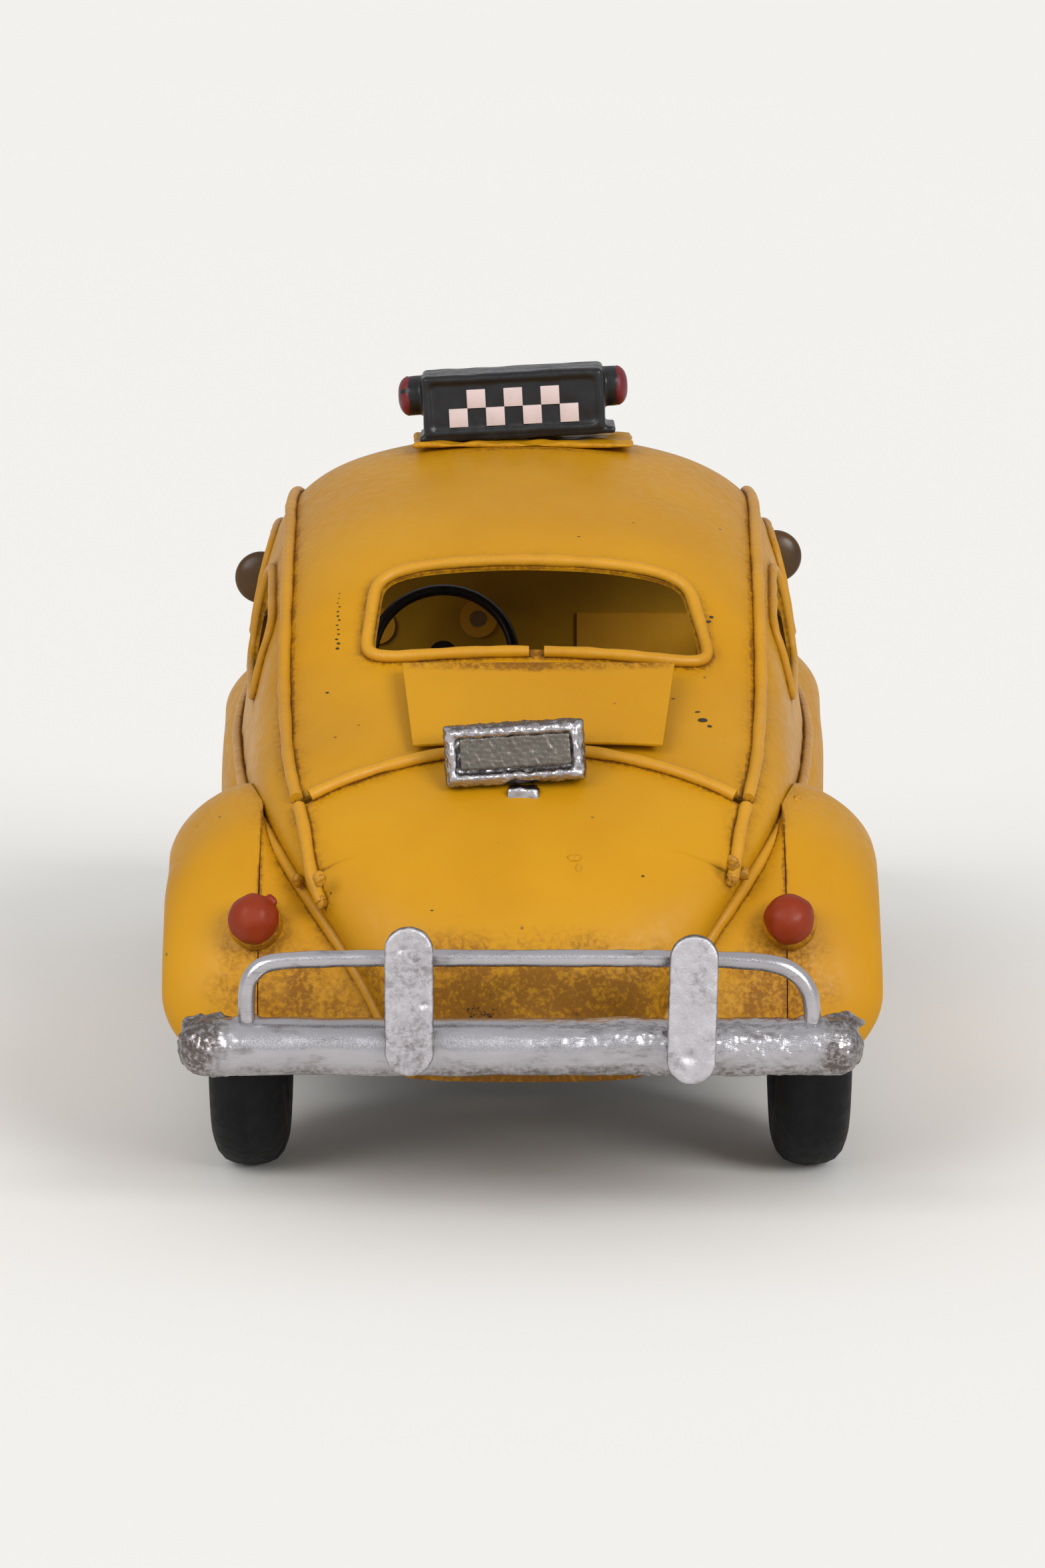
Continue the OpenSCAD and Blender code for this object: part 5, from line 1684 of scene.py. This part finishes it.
@dataclass
class Studio:
    """Plain pale floor, soft lights and the camera."""

    floor_size: float = 14.0
    camera_at: tuple[float, float, float] = (0.0, -0.640, 0.1437)
    camera_pitch: float = 10.0
    lens: float = 133.2

    def floor(self) -> None:
        """A wide pale floor."""
        floor = primitive(bpy.ops.mesh.primitive_plane_add, "floor", size=self.floor_size)
        material, sheet = new_material("pale_floor")
        drift = sheet.blend(sheet.noise(3.0, 2), (0.80, 0.785, 0.755), (0.79, 0.775, 0.745))
        shade(sheet, {"Base Color": drift, "Roughness": 0.9})
        floor.data.materials.append(material)

    def light(self, name: str, azimuth: float, height: float, spread: float, power: float) -> None:
        """Adds one soft far light behind the camera.

        Args:
            name: Its name.
            azimuth: How far it stands to the camera's right, in degrees.
            height: How far it stands above the floor, in degrees.
            spread: Its width in degrees.
            power: Its strength.
        """
        lamp = bpy.data.lights.new(name, "SUN")
        lamp.energy, lamp.angle = power, math.radians(spread)
        turn, lift = math.radians(azimuth), math.radians(height)
        at = Vector((math.sin(turn) * math.cos(lift), -math.cos(turn) * math.cos(lift), math.sin(lift)))
        obj = placed(name, lamp)
        obj.location = at * 2
        obj.rotation_euler = at.to_track_quat("Z", "Y").to_euler()

    def build(self) -> None:
        """Sets up the floor, the lights and the camera."""
        self.floor()
        scene = bpy.context.scene
        scene.view_settings.view_transform = "Standard"
        world = bpy.data.worlds.new("pale_room")
        scene.world = world
        world.use_nodes = True
        sky = world.node_tree.nodes["Background"]
        sky.inputs[0].default_value = (0.98, 0.985, 1.0, 1)
        sky.inputs[1].default_value = 0.65
        self.light("key_right", 35, 26, 26, 1.98)
        self.light("key_left", -36, 30, 34, 1.38)
        lens = bpy.data.cameras.new("camera")
        lens.lens, lens.sensor_width, lens.sensor_fit = self.lens, 36.0, "AUTO"
        lens.clip_start, lens.clip_end = 0.01, 50.0
        camera = placed("camera", lens)
        camera.location = self.camera_at
        camera.rotation_euler = (math.radians(90 - self.camera_pitch), 0, 0)
        scene.camera = camera


def settle_grime(grime: Grime, panels: Panels) -> None:
    """Lets wash settle along the gussets and the sign's base, and in the stained places.

    Args:
        grime: Where it is noted.
        panels: The sheets, for the gussets' seam.
    """
    seam, _ = panels.seam_of_gusset()
    for side in (-1, 1):
        grime.line(seam * (side, 1, 1), 0.02, 0.75, 0.4)
        grime.stain((side * 26.8, -70.5, 28.0), (4.6, 4.0, 4.6), 0.55)
        grime.stain((side * 24.0, -73.0, 22.5), (8.0, 6.0, 5.4), 0.6)
    grime.stain((0, -80.0, 20.0), (27, 10, 9.0), 0.95)
    grime.stain((1.4, -45.4, 51.4), (14.5, 1.4, 1.1), 0.8)
    corners = [(-12.4, -2.0), (12.6, -2.0), (12.6, 10.0), (-12.4, 10.0), (-12.4, -2.0)]
    grime.line(np.array([(x, y, 68.9) for x, y in corners]), 0.1, 0.7)


def main() -> None:
    """Builds and dresses the taxi, sub-assembly by sub-assembly."""
    logging.basicConfig(level=logging.INFO, format="%(message)s")
    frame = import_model()
    shop = Workshop()
    shop.mix_paints()
    beads = Beadwork(shop)
    beads.lay_out()
    panels = Panels(shop, beads)
    settle_grime(shop.grime, panels)
    panels.build()
    beads.build()
    for assembly in (Marks(shop), RearTrim(shop), RoofSign(shop), Fittings(shop)):
        assembly.build()
    CarriedOver(shop, frame["nodes"]).dress()
    Studio().build()


if __name__ == "__main__":
    main()
